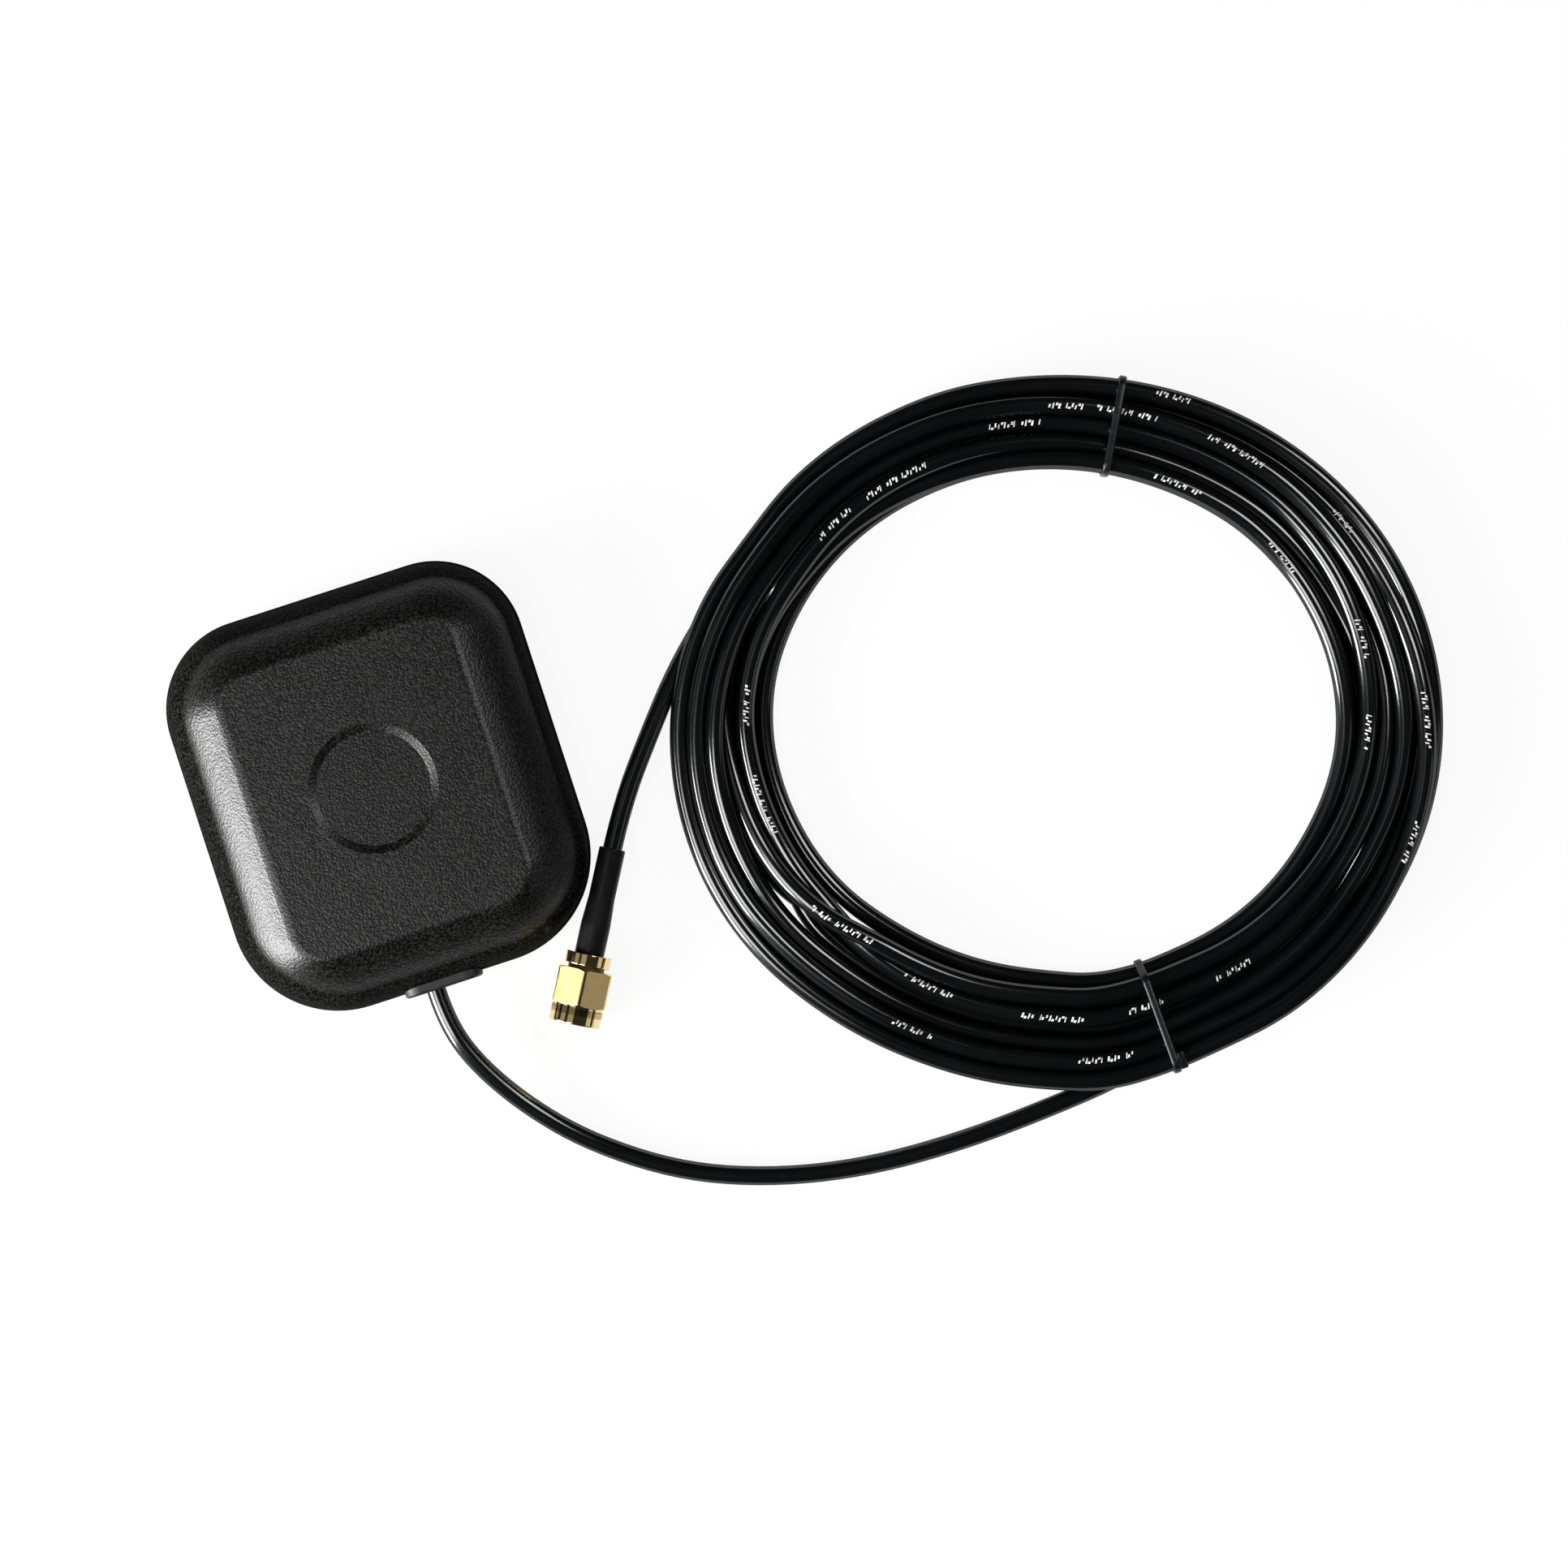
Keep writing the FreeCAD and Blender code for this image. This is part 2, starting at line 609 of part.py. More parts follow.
magnet_cups = []
for count, side in enumerate(("", "-")):
    place = f"{side}{magnet_spacing} / 2"
    cup = rod(f"cup_{count}", "magnet_radius + fit_gap + cup_wall", "base_floor / 2 + cup_height",
              place, "0", "base_floor / 2")
    room = rod(f"cup_room_{count}", "magnet_radius + fit_gap", "cup_height + cut_room", place, "0",
               "base_floor")
    magnet_cups.append(cut(f"magnet_cup_{count}", cup, room))

rib_y = f"({inner_face} + grommet_inner + crimp_length + 2 * fit_gap + rib_thickness / 2)"
rib_blank = block("rib_blank", "rib_width", "rib_thickness", "rim_height - base_floor / 2",
                  "cable_offset", rib_y, "base_floor / 2")
rib_notch = block("rib_notch", "2 * (cable_radius + fit_gap)", "rib_thickness + cut_room",
                  "cable_radius + cut_room", "cable_offset", rib_y, "rim_height")
rib_saddle = lying_rod("rib_saddle", "cable_radius + fit_gap", "rib_thickness + cut_room", "cable_offset",
                       f"{rib_y} - (rib_thickness + cut_room) / 2", "rim_height")
cable_rib = cut("cable_rib", rib_blank, fuse("rib_opening", [rib_notch, rib_saddle]))

base_tray = cut("base_tray", base_form, base_hollow)
base_solid = fuse("base_solid", [base_tray, cable_rib] + base_bosses + posts + pegs + magnet_cups)
screw_holes = four("screw_hole", screw_tool("screw_radius + screw_room", "0", "boss_height"),
                   screws_x, screws_y)
head_top = "(screw_sink + screw_head_height)"
head_seats = four("head_seat", screw_tool("screw_head_radius + screw_head_room", "0", head_top),
                  screws_x, screws_y)
base_cuts = fuse("base_cuts", screw_holes + head_seats + [seal_groove, neck_slot])
base_plate = keep("base_plate", cut("base_plate", base_solid, base_cuts))


def case_screw(name, x, y):
    """A pan-head screw, head down, with a recess for the driver."""
    head = rod(name + "_head", "screw_head_radius", "screw_head_height", x, y, "screw_sink")
    shank = rod(name + "_shank", "screw_radius", "screw_length", x, y, head_top)
    recess = rod(name + "_recess", "screw_recess_radius", "screw_recess_depth", x, y, "screw_sink")
    return cut(name + "_cut", fuse(name + "_blank", [head, shank]), recess)


case_screws = four("screw", case_screw, screws_x, screws_y)
keep("case_screws", group("case_screws", case_screws))

magnets = []
for count, side in enumerate(("", "-")):
    place = f"{side}{magnet_spacing} / 2"
    magnets.append(rod(f"magnet_{count}", "magnet_radius", "magnet_height", place, "0", "base_floor"))
keep("magnets", group("magnets", magnets))

# Electronics: board on its pegs, shield can below, ceramic patch above, feed pin through all of it
feed_place = ("0", "feed_offset")


def feed_hole(name, low, height):
    return rod(name, "feed_radius + fit_gap", height, *feed_place, low)


board_top = "(board_height + board_thickness)"
board_blank = block("board_blank", board_width, board_length, "board_thickness", z="board_height")
peg_holes = four("peg_hole", screw_tool("peg_radius + fit_gap", "board_height", board_top),
                 posts_x, posts_y)
board_feed_hole = feed_hole("board_feed_hole", "board_height", "board_thickness")
board_holes = fuse("board_holes", peg_holes + [board_feed_hole])
keep("circuit_board", cut("circuit_board", board_blank, board_holes))

can_bottom = "(board_height - can_height)"
can_width = f"(({magnet_spacing} - 2 * (magnet_radius + fit_gap + cup_wall)) * can_share)"
can_length = f"({board_length} - 2 * can_inset)"
can_outside = block("can_outside", can_width, can_length, "can_height", z=can_bottom)
can_inside = block("can_inside", f"{can_width} - 2 * can_wall", f"{can_length} - 2 * can_wall",
                   "can_height - can_wall", z=f"{can_bottom} + can_wall")
keep("shield_can", cut("shield_can", can_outside, can_inside))

patch_width = f"(min({board_width}; {board_length}) - 2 * patch_inset)"
tape_width = f"({patch_width} - 2 * tape_margin)"
tape_blank = block("tape_blank", tape_width, tape_width, "tape_thickness", z=board_top)
keep("patch_tape", cut("patch_tape", tape_blank, feed_hole("tape_hole", board_top, "tape_thickness")))

patch_bottom = f"({board_top} + tape_thickness)"
patch_top = "(case_height - housing_ceiling - patch_room - feed_head_height - electrode_thickness)"
patch_thickness = f"({patch_top} - {patch_bottom})"
patch_blank = block("patch_blank", patch_width, patch_width, patch_thickness, z=patch_bottom)
patch_hole = feed_hole("patch_hole", patch_bottom, patch_thickness)
keep("ceramic_patch", cut("ceramic_patch", patch_blank, patch_hole))

electrode_width = f"({patch_width} - 2 * electrode_inset)"
electrode_blank = block("electrode_blank", electrode_width, electrode_width, "electrode_thickness",
                        z=patch_top)
electrode_hole = feed_hole("electrode_hole", patch_top, "electrode_thickness")
keep("patch_electrode", cut("patch_electrode", electrode_blank, electrode_hole))

head_seat = f"({patch_top} + electrode_thickness)"
feed_shank = rod("feed_shank", "feed_radius", f"{head_seat} - board_height + feed_tail", *feed_place,
                 "board_height - feed_tail")
feed_head = doc.addObject("Part::Cone", "feed_head")
feed_head.setExpression("Radius1", bound("feed_head_radius"))
feed_head.setExpression("Radius2", bound("feed_radius"))
feed_head.setExpression("Height", bound("feed_head_height"))
move(feed_head, *feed_place, head_seat)
keep("feed_pin", fuse("feed_pin", [feed_shank, feed_head]))

# Cable exit: rubber grommet in the parting line, stop ring on the cable and the bared cable end
flange_face = f"({wall_face} - grommet_flange)"
grommet_neck = capsule("grommet_neck", "grommet_neck_width", "grommet_neck_height",
                       "grommet_flange / 2 + base_wall + grommet_room", f"{wall_face} - grommet_flange / 2")
flange_blank = capsule("flange_blank", "grommet_flange_width", "grommet_flange_height",
                       "grommet_flange + base_wall", flange_face)
case_form = fuse("case_form", [housing_form, base_form])
grommet_outside = cut("grommet_outside", flange_blank, case_form)
grommet_inside = capsule("grommet_inside", "grommet_inner_width", "grommet_inner_height", "grommet_inner",
                         inner_face)
grommet_body = fuse("grommet_body", [grommet_neck, grommet_outside, grommet_inside])
doc.recompute()
rounding = value_of("grommet_edge")
front_edges = [number for number, edge in enumerate(grommet_body.Shape.Edges, start=1)
               if edge.BoundBox.YMax < value_of(flange_face) + NEAR]
grommet_rounded = doc.addObject("Part::Fillet", "grommet_rounded")
grommet_rounded.Base = grommet_body
grommet_rounded.Edges = [(number, rounding, rounding) for number in front_edges]
grommet_bore = lying_rod("grommet_bore", "cable_radius + fit_gap",
                         "grommet_flange + base_wall + grommet_room + grommet_inner + 2 * cut_room",
                         "cable_offset", f"{flange_face} - cut_room", "rim_height")
keep("grommet", cut("grommet", grommet_rounded, grommet_bore))

stop_y = f"({inner_face} + grommet_inner + fit_gap)"
stop_ring = lying_rod("stop_ring", "crimp_radius", "crimp_length", "cable_offset", stop_y, "rim_height")
stop_bore = lying_rod("stop_bore", "cable_radius + fit_gap", "crimp_length", "cable_offset", stop_y,
                      "rim_height")
keep("cable_stop", cut("cable_stop", stop_ring, stop_bore))

jacket_end = f"({rib_y} + rib_thickness / 2 + jacket_reach)"
keep("lead_jacket", lying_rod("lead_jacket", "cable_radius", f"{jacket_end} - {flange_face}",
                              "cable_offset", flange_face, "rim_height"))
braid_rod = lying_rod("braid_rod", "braid_radius", "braid_reach", "cable_offset", jacket_end, "rim_height")
braid_room = lying_rod("braid_room", "insulation_radius", "braid_reach", "cable_offset", jacket_end,
                       "rim_height")
keep("coax_braid", cut("coax_braid", braid_rod, braid_room))
insulation_rod = lying_rod("insulation_rod", "insulation_radius", "insulation_reach", "cable_offset",
                           jacket_end, "rim_height")
insulation_room = lying_rod("insulation_room", "core_radius", "insulation_reach", "cable_offset", jacket_end,
                            "rim_height")
keep("coax_insulation", cut("coax_insulation", insulation_rod, insulation_room))


# Share of the shorter run beside a bend that the bend takes up
BEND_SHARE = 0.45


def smooth_path(points):
    """Straight runs joined by tangent arcs, each as large as its two runs allow, and the arcs' radii."""
    edges = []
    radii = []
    start = points[0]
    for before, corner, after in zip(points, points[1:], points[2:]):
        incoming = (corner - before).normalize()
        outgoing = (after - corner).normalize()
        half_turn = incoming.getAngle(outgoing) / 2
        setback = BEND_SHARE * min(corner.distanceToPoint(before), corner.distanceToPoint(after))
        first = corner - incoming * setback
        last = corner + outgoing * setback
        towards = (outgoing - incoming).normalize()
        radius = setback / math.tan(half_turn)
        middle = corner + towards * (radius / math.cos(half_turn) - radius)
        edges.append(Part.LineSegment(start, first).toShape())
        edges.append(Part.Arc(first, middle, last).toShape())
        radii.append(radius)
        start = last
    edges.append(Part.LineSegment(start, points[-1]).toShape())
    return Part.Wire(edges), radii


def tube(name, radius, points):
    """A round tube along a smooth path."""
    path, radii = smooth_path(points)
    first_run = (points[1] - points[0]).normalize()
    rim = Part.Wire([Part.Circle(points[0], first_run, radius).toShape()])
    shape = path.makePipeShell([rim], True, False)
    piece = doc.addObject("Part::Feature", name)
    piece.Shape = shape
    expected = math.pi * radius ** 2 * path.Length
    tightest = round(min(radii), 1)
    print(f"{name}: length {path.Length:.1f}, radii {[round(r, 1) for r in radii]}, tightest {tightest}")
    print(f"{name}: volume {shape.Volume:.1f}, section times length {expected:.1f}")
    return piece


cable_x = value_of("cable_offset")
cable_z = value_of("rim_height")
core_start = value_of(jacket_end)
core_bend = core_start + value_of("core_reach")
core_end = core_bend + value_of("core_rise")
solder_z = value_of("board_height - core_radius - fit_gap")
coax_core = tube("coax_core", value_of("core_radius"), [
    App.Vector(cable_x, core_start, cable_z),
    App.Vector(cable_x, core_bend, cable_z),
    App.Vector(cable_x, core_end, solder_z),
    App.Vector(cable_x, core_end + value_of("core_foot"), solder_z),
])
keep("coax_core", coax_core)

# Cable: the route's points are chosen by hand, from the grommet to the coil and from the coil to the sleeve.
# The sleeve's end lies low enough for a corner of the plug's nut to touch down.
hex_corner = "(hex_flats / 2 / cos(30deg))"
cable_radius = value_of("cable_radius")
exit_y = value_of(flange_face)
LEAD_ROUTE = [
    App.Vector(cable_x, exit_y, cable_z),
    App.Vector(cable_x, exit_y - 4.9, cable_z),
    App.Vector(0.7, -42.8, 4.2),
    App.Vector(5.7, -51.2, 2.6),
    App.Vector(13.0, -59.5, 1.6),
    App.Vector(24.6, -67.9, 1.45),
    App.Vector(37.5, -73.0, 1.45),
    App.Vector(51.4, -75.8, 1.45),
    App.Vector(66.3, -76.4, 1.45),
    App.Vector(80.4, -75.6, 1.45),
    App.Vector(91.3, -74.5, 1.45),
]
plug_height = value_of(f"{hex_corner} + plug_lift")
TAIL_ROUTE = [
    App.Vector(65.6, 19.1, 1.6),
    App.Vector(56.4, 11.7, 2.1),
    App.Vector(47.4, 3.9, 3.0),
    App.Vector(40.1, -4.6, 4.0),
    App.Vector(33.15, -13.25, plug_height),
    App.Vector(29.25, -19.9, plug_height),
]
keep("cord_lead", tube("cord_lead", cable_radius, LEAD_ROUTE))
keep("cord_tail", tube("cord_tail", cable_radius, TAIL_ROUTE))


def oval(name, long_radius, short_radius, x, y, turn, low, height):
    """An upright oval block."""
    ellipse = doc.addObject("Part::Ellipse", name + "_outline")
    ellipse.setExpression("MajorRadius", bound(f"max({long_radius}; {short_radius})"))
    ellipse.setExpression("MinorRadius", bound(f"min({long_radius}; {short_radius})"))
    quarter = 90 if value_of(short_radius) > value_of(long_radius) else 0
    ellipse.Placement.Rotation = App.Rotation(App.Vector(0, 0, 1), value_of(turn) + quarter)
    move(ellipse, x, y, low)
    block_piece = doc.addObject("Part::Extrusion", name)
    block_piece.Base = ellipse
    block_piece.Dir = App.Vector(0, 0, 1)
    block_piece.setExpression("LengthFwd", bound(height))
    block_piece.Solid = True
    return block_piece


coil_disc = oval("coil_disc", "coil_long_radius", "coil_short_radius", "coil_x", "coil_y", "coil_turn",
                 "tie_thickness + tie_slack", "coil_height")
coil_hole = oval("coil_hole", "hole_long_radius", "hole_short_radius", "hole_x", "hole_y", "hole_turn",
                 "tie_thickness + tie_slack", "coil_height")
coil_blank = cut("coil_blank", coil_disc, coil_hole)
doc.recompute()
coil_bevel = value_of("coil_edge")
closed_edges = [number for number, edge in enumerate(coil_blank.Shape.Edges, start=1)
                if edge.isClosed() and edge.BoundBox.ZLength < NEAR]
cord_coil = doc.addObject("Part::Chamfer", "cord_coil")
cord_coil.Base = coil_blank
cord_coil.Edges = [(number, coil_bevel, coil_bevel) for number in closed_edges]
keep("cord_coil", cord_coil)


def reach(angle, long_radius, short_radius, x, y, turn):
    """Distance from the outer oval's middle to an oval, along a ray at angle."""
    ray = App.Vector(math.cos(math.radians(angle)), math.sin(math.radians(angle)), 0)
    start = App.Vector(value_of("coil_x - " + x), value_of("coil_y - " + y), 0)
    back = App.Rotation(App.Vector(0, 0, 1), -value_of(turn))
    ray = back.multVec(ray)
    start = back.multVec(start)
    along = value_of(long_radius)
    across = value_of(short_radius)
    a = (ray.x / along) ** 2 + (ray.y / across) ** 2
    b = 2 * (ray.x * start.x / along ** 2 + ray.y * start.y / across ** 2)
    c = (start.x / along) ** 2 + (start.y / across) ** 2 - 1
    return (-b + math.sqrt(b * b - 4 * a * c)) / (2 * a)


def band_outline(low_x, high_x, low_z, high_z, radius):
    """A rounded rectangle in the XZ plane as a face."""
    box = Part.makeBox(high_x - low_x, 1, high_z - low_z, App.Vector(low_x, 0, low_z))
    upright = [edge for edge in box.Edges if edge.BoundBox.YLength > 0.5]
    return box.makeFillet(radius, upright)


def tie(node, angle_name, with_tab):
    """A thin band right round the bundle, square across it, with a loose end if it has one."""
    angle = value_of(angle_name)
    slack = value_of("tie_slack")
    thick = value_of("tie_thickness")
    width = value_of("tie_width")
    outer = reach(angle, "coil_long_radius", "coil_short_radius", "coil_x", "coil_y", "coil_turn") + slack
    inner = reach(angle, "hole_long_radius", "hole_short_radius", "hole_x", "hole_y", "hole_turn") - slack
    top = thick + slack + value_of("coil_height") + slack
    corner = value_of("tie_corner")
    outside = band_outline(inner - thick, outer + thick, 0, top + thick, corner + thick)
    inside = band_outline(inner, outer, thick, top, corner)
    band = outside.cut(inside)
    stretch = App.Matrix()
    stretch.A22 = width
    band = band.transformGeometry(stretch)
    band.translate(App.Vector(0, -width / 2, 0))
    if with_tab:
        length = value_of("tab_length")
        tab_start = outer - corner - length
        tab = Part.makeBox(length, width, thick, App.Vector(tab_start, width / 2, top))
        band = band.fuse(tab).removeSplitter()
    piece = doc.addObject("Part::Feature", node)
    piece.Shape = band
    middle = App.Vector(value_of("coil_x"), value_of("coil_y"), 0)
    piece.Placement = App.Placement(middle, App.Rotation(App.Vector(0, 0, 1), angle))
    return keep(node, piece)


tie("tie_upper", "upper_tie_angle", False)
tie("tie_lower", "lower_tie_angle", True)

# Plug: every piece is turned about one axis, measured back from the nut's front face.
# The axis runs along the last stretch of cable and lies low enough for the nut's corner to touch down.
collar_front = "(skirt_length + hex_length + nut_gap)"
stem_front = f"({collar_front} + collar_length)"
stem_rear = f"({stem_front} + ferrule_length)"
ring_rear = "(ring_depth + ring_thickness)"

sleeve_rear = f"({stem_front} + sleeve_length)"
jacket_rear = f"({sleeve_rear} - sleeve_grip)"

cable_end = TAIL_ROUTE[-1]
backward = (TAIL_ROUTE[-2] - TAIL_ROUTE[-1]).normalize()
plug_front = cable_end - backward * value_of(jacket_rear)
yaw = math.degrees(math.atan2(backward.y, backward.x))
plug_turn = App.Rotation(App.Vector(0, 0, 1), yaw + 90) * App.Rotation(App.Vector(1, 0, 0), 90)
plug_place = App.Placement(plug_front, plug_turn)
print(f"plug front {plug_front}, direction out of its mouth {backward * -1}")


def on_plug(node, piece):
    piece.Placement = plug_place
    return keep(node, piece)


on_plug("plug_body", turned("plug_body", [
    ("barrel_bore", "barrel_depth"),
    ("barrel_radius", "barrel_depth"),
    ("barrel_radius", "shoulder_depth"),
    ("body_radius", "shoulder_depth"),
    ("body_radius", "ring_depth - ring_play"),
    ("ring_inner_radius - fit_gap", "ring_depth - ring_play"),
    ("ring_inner_radius - fit_gap", f"{ring_rear} + ring_play"),
    ("body_radius", f"{ring_rear} + ring_play"),
    ("body_radius", collar_front),
    ("collar_radius", collar_front),
    ("collar_radius", stem_front),
    ("stem_radius", stem_front),
    ("stem_radius", stem_rear),
    ("stem_bore", stem_rear),
    ("stem_bore", "barrel_bore_depth"),
    ("barrel_bore", "barrel_bore_depth"),
]))

gasket_front = "shoulder_depth - gasket_thickness"
on_plug("plug_gasket", turned("plug_gasket", [
    ("barrel_radius + fit_gap", gasket_front),
    ("gasket_radius", gasket_front),
    ("gasket_radius", "shoulder_depth"),
    ("barrel_radius + fit_gap", "shoulder_depth"),
]))

pin_rear = "(barrel_bore_depth - fit_gap)"
on_plug("pin_insulator", turned("pin_insulator", [
    ("pin_root_radius + fit_gap", "barrel_depth + pin_lip"),
    ("pin_radius + fit_gap", "barrel_depth + pin_lip"),
    ("pin_radius + fit_gap", "barrel_depth"),
    ("barrel_bore - fit_gap", "barrel_depth"),
    ("barrel_bore - fit_gap", pin_rear),
    ("pin_root_radius + fit_gap", pin_rear),
]))

on_plug("centre_pin", turned("centre_pin", [
    ("0", "pin_depth"),
    ("pin_radius / 2", "pin_depth"),
    ("pin_radius", "pin_depth + pin_tip"),
    ("pin_radius", "barrel_depth + pin_lip + fit_gap"),
    ("pin_root_radius", "barrel_depth + pin_lip + fit_gap"),
    ("pin_root_radius", pin_rear),
    ("0", pin_rear),
]))

on_plug("tail_insulation", turned("tail_insulation", [
    ("core_radius", "barrel_bore_depth"),
    ("insulation_radius", "barrel_bore_depth"),
    ("insulation_radius", stem_rear),
    ("core_radius", stem_rear),
]))

on_plug("tail_core", turned("tail_core", [
    ("0", pin_rear),
    ("core_radius", pin_rear),
    ("core_radius", stem_rear),
    ("0", stem_rear),
]))

on_plug("crimp_ferrule", turned("crimp_ferrule", [
    ("stem_radius + fit_gap", stem_front),
    ("ferrule_radius", stem_front),
    ("ferrule_radius", stem_rear),
    ("stem_radius + fit_gap", stem_rear),
]))

on_plug("tail_jacket", turned("tail_jacket", [
    ("0", stem_rear),
    ("cable_radius", stem_rear),
    ("cable_radius", jacket_rear),
    ("0", jacket_rear),
]))

on_plug("shrink_sleeve", turned("shrink_sleeve", [
    ("ferrule_radius + fit_gap", stem_front),
    ("sleeve_front_radius", stem_front),
    ("sleeve_front_radius", f"{stem_rear} - sleeve_taper_start"),
    ("sleeve_rear_radius", f"{stem_rear} + sleeve_taper_end"),
    ("sleeve_rear_radius", sleeve_rear),
    ("cable_radius + fit_gap", sleeve_rear),
    ("cable_radius + fit_gap", f"{stem_rear} + sleeve_step_end"),
    ("ferrule_radius + fit_gap", f"{stem_rear} + sleeve_step_start"),
]))

# Snap ring: a flat ring with a mouth, so that it can spring into the body's groove
snap_body = turned("snap_ring", [
    ("ring_inner_radius", "ring_depth"),
    ("ring_outer_radius", "ring_depth"),
    ("ring_outer_radius", ring_rear),
    ("ring_inner_radius", ring_rear),
])
snap_turned = snap_body.Tip
snap_turned.setExpression("Angle", bound("360 - ring_mouth"))
on_plug("snap_ring", snap_body)

# Coupling nut: hexagon and round skirt, chamfered ends, stepped bore with a groove for the snap ring
nut = doc.addObject("PartDesign::Body", "coupling_nut")
hexagon = new_sketch(nut, "hexagon", "XY_Plane", "skirt_length")
corner_radius = value_of(hex_corner)
first_corner = App.Vector(0, corner_radius, 0)
clockwise = App.Vector(0, 0, -1)
hexagon_corners = [App.Rotation(clockwise, 60 * count).multVec(first_corner) for count in range(6)]
for count in range(6):
    hexagon.addGeometry(Part.LineSegment(hexagon_corners[count], hexagon_corners[(count + 1) % 6]), False)
circle_on_corners = 6
hexagon.addGeometry(Part.Circle(App.Vector(0, 0, 0), App.Vector(0, 0, 1), corner_radius), True)
hexagon.addConstraint(Sketcher.Constraint("Coincident", circle_on_corners, 3, -1, 1))
for count in range(6):
    hexagon.addConstraint(Sketcher.Constraint("Coincident", count, 2, (count + 1) % 6, 1))
    hexagon.addConstraint(Sketcher.Constraint("PointOnObject", count, 1, circle_on_corners))
for count in range(5):
    hexagon.addConstraint(Sketcher.Constraint("Equal", count, count + 1))
hexagon.addConstraint(Sketcher.Constraint("PointOnObject", 0, 1, -2))
drive(hexagon, "corners", Sketcher.Constraint("Radius", circle_on_corners, corner_radius), hex_corner)
pad(nut, "nut_hexagon", hexagon, "hex_length")
nut_rear = "(skirt_length + hex_length)"


def nut_groove(name, points):
    """Turns an outline out of the nut and checks that it removed something."""
    doc.recompute()
    before = nut.Shape.Volume
    groove = nut.newObject("PartDesign::Groove", name)
    groove.Profile = outline(nut, name + "_outline", points)
    groove.ReferenceAxis = (groove.Profile[0], ["V_Axis"])
    groove.Angle = 360
    nut.Tip = groove
    doc.recompute()
    if not nut.Shape.Volume < before - NEAR:
        raise RuntimeError(f"{name} cut nothing")


# Each end chamfer is a cone that trims the six corners and leaves arcs on the flats.
beyond = f"({hex_corner} + cut_room)"
chamfer_drop = f"(({beyond} - hex_chamfer_radius) * tan(hex_chamfer_slope * 1deg))"
nut_groove("rear_chamfer", [
    ("hex_chamfer_radius", nut_rear),
    (beyond, nut_rear),
    (beyond, f"{nut_rear} - {chamfer_drop}"),
])
nut_groove("front_chamfer", [
    ("hex_chamfer_radius", "skirt_length"),
    (beyond, "skirt_length"),
    (beyond, f"skirt_length + {chamfer_drop}"),
])

skirt_outline = new_sketch(nut, "skirt_outline")
skirt_radius = value_of("skirt_radius")
skirt_outline.addGeometry(Part.Circle(App.Vector(0, 0, 0), App.Vector(0, 0, 1), skirt_radius), False)
skirt_outline.addConstraint(Sketcher.Constraint("Coincident", 0, 3, -1, 1))
drive(skirt_outline, "radius", Sketcher.Constraint("Radius", 0, skirt_radius), "skirt_radius")
pad(nut, "nut_skirt", skirt_outline, "skirt_length")
nut_groove("skirt_edge_chamfer", [
    ("skirt_radius - skirt_edge", "0"),
    ("skirt_radius + cut_room", "0"),
    ("skirt_radius + cut_room", "skirt_edge"),
    ("skirt_radius", "skirt_edge"),
])
nut_groove("stepped_bore", [
    ("0", "0"),
    ("thread_radius + thread_mouth", "0"),
    ("thread_radius", "thread_mouth"),
    ("thread_radius", "thread_depth"),
    ("body_radius + running_gap", "thread_depth"),
    ("body_radius + running_gap", "ring_depth - groove_play"),
    ("ring_outer_radius + groove_play", "ring_depth - groove_play"),
    ("ring_outer_radius + groove_play", f"{ring_rear} + groove_play"),
    ("body_radius + running_gap", f"{ring_rear} + groove_play"),
    ("body_radius + running_gap", nut_rear),
    ("0", nut_rear),
])
on_plug("coupling_nut", nut)
clocking = App.Rotation(App.Vector(0, 0, 1), value_of("nut_turn"))
nut.Placement = plug_place * App.Placement(App.Vector(0, 0, 0), clocking)

doc.recompute()

# Every object is checked before anything is written.
for item in doc.Objects:
    if "Invalid" in item.State or "Error" in item.State:
        raise RuntimeError(f"{item.Name} did not build: {item.State}")
for node, piece in NODES.items():
    shape = piece.Shape
    if shape.isNull() or not shape.isValid() or not shape.Solids:
        raise RuntimeError(f"{node} has no valid solid")

for node, piece in NODES.items():
    piece.Shape.exportStep(f"parts/{node}.step")
    print(f"{node}: {len(piece.Shape.Solids)} solid, {piece.Shape.Volume:.1f} mm3")
print(len(NODES), "nodes written")
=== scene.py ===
import json
import math

import bmesh
import bpy
import numpy as np
from mathutils import Matrix, Vector


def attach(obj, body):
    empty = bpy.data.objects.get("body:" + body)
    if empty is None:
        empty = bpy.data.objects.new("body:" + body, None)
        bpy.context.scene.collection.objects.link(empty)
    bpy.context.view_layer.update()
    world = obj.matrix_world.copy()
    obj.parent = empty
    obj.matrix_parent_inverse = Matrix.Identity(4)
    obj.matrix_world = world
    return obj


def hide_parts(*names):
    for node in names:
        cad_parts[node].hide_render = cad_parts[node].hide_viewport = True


bl_info = {
    "name": "Puck Antenna Dresser",
    "version": (1, 0, 0),
    "blender": (4, 5, 0),
    "location": "View3D > Sidebar > Antenna",
    "description": "Dresses the packed puck antenna with its coiled cable, ties, plug and finishes",
    "category": "Object",
}

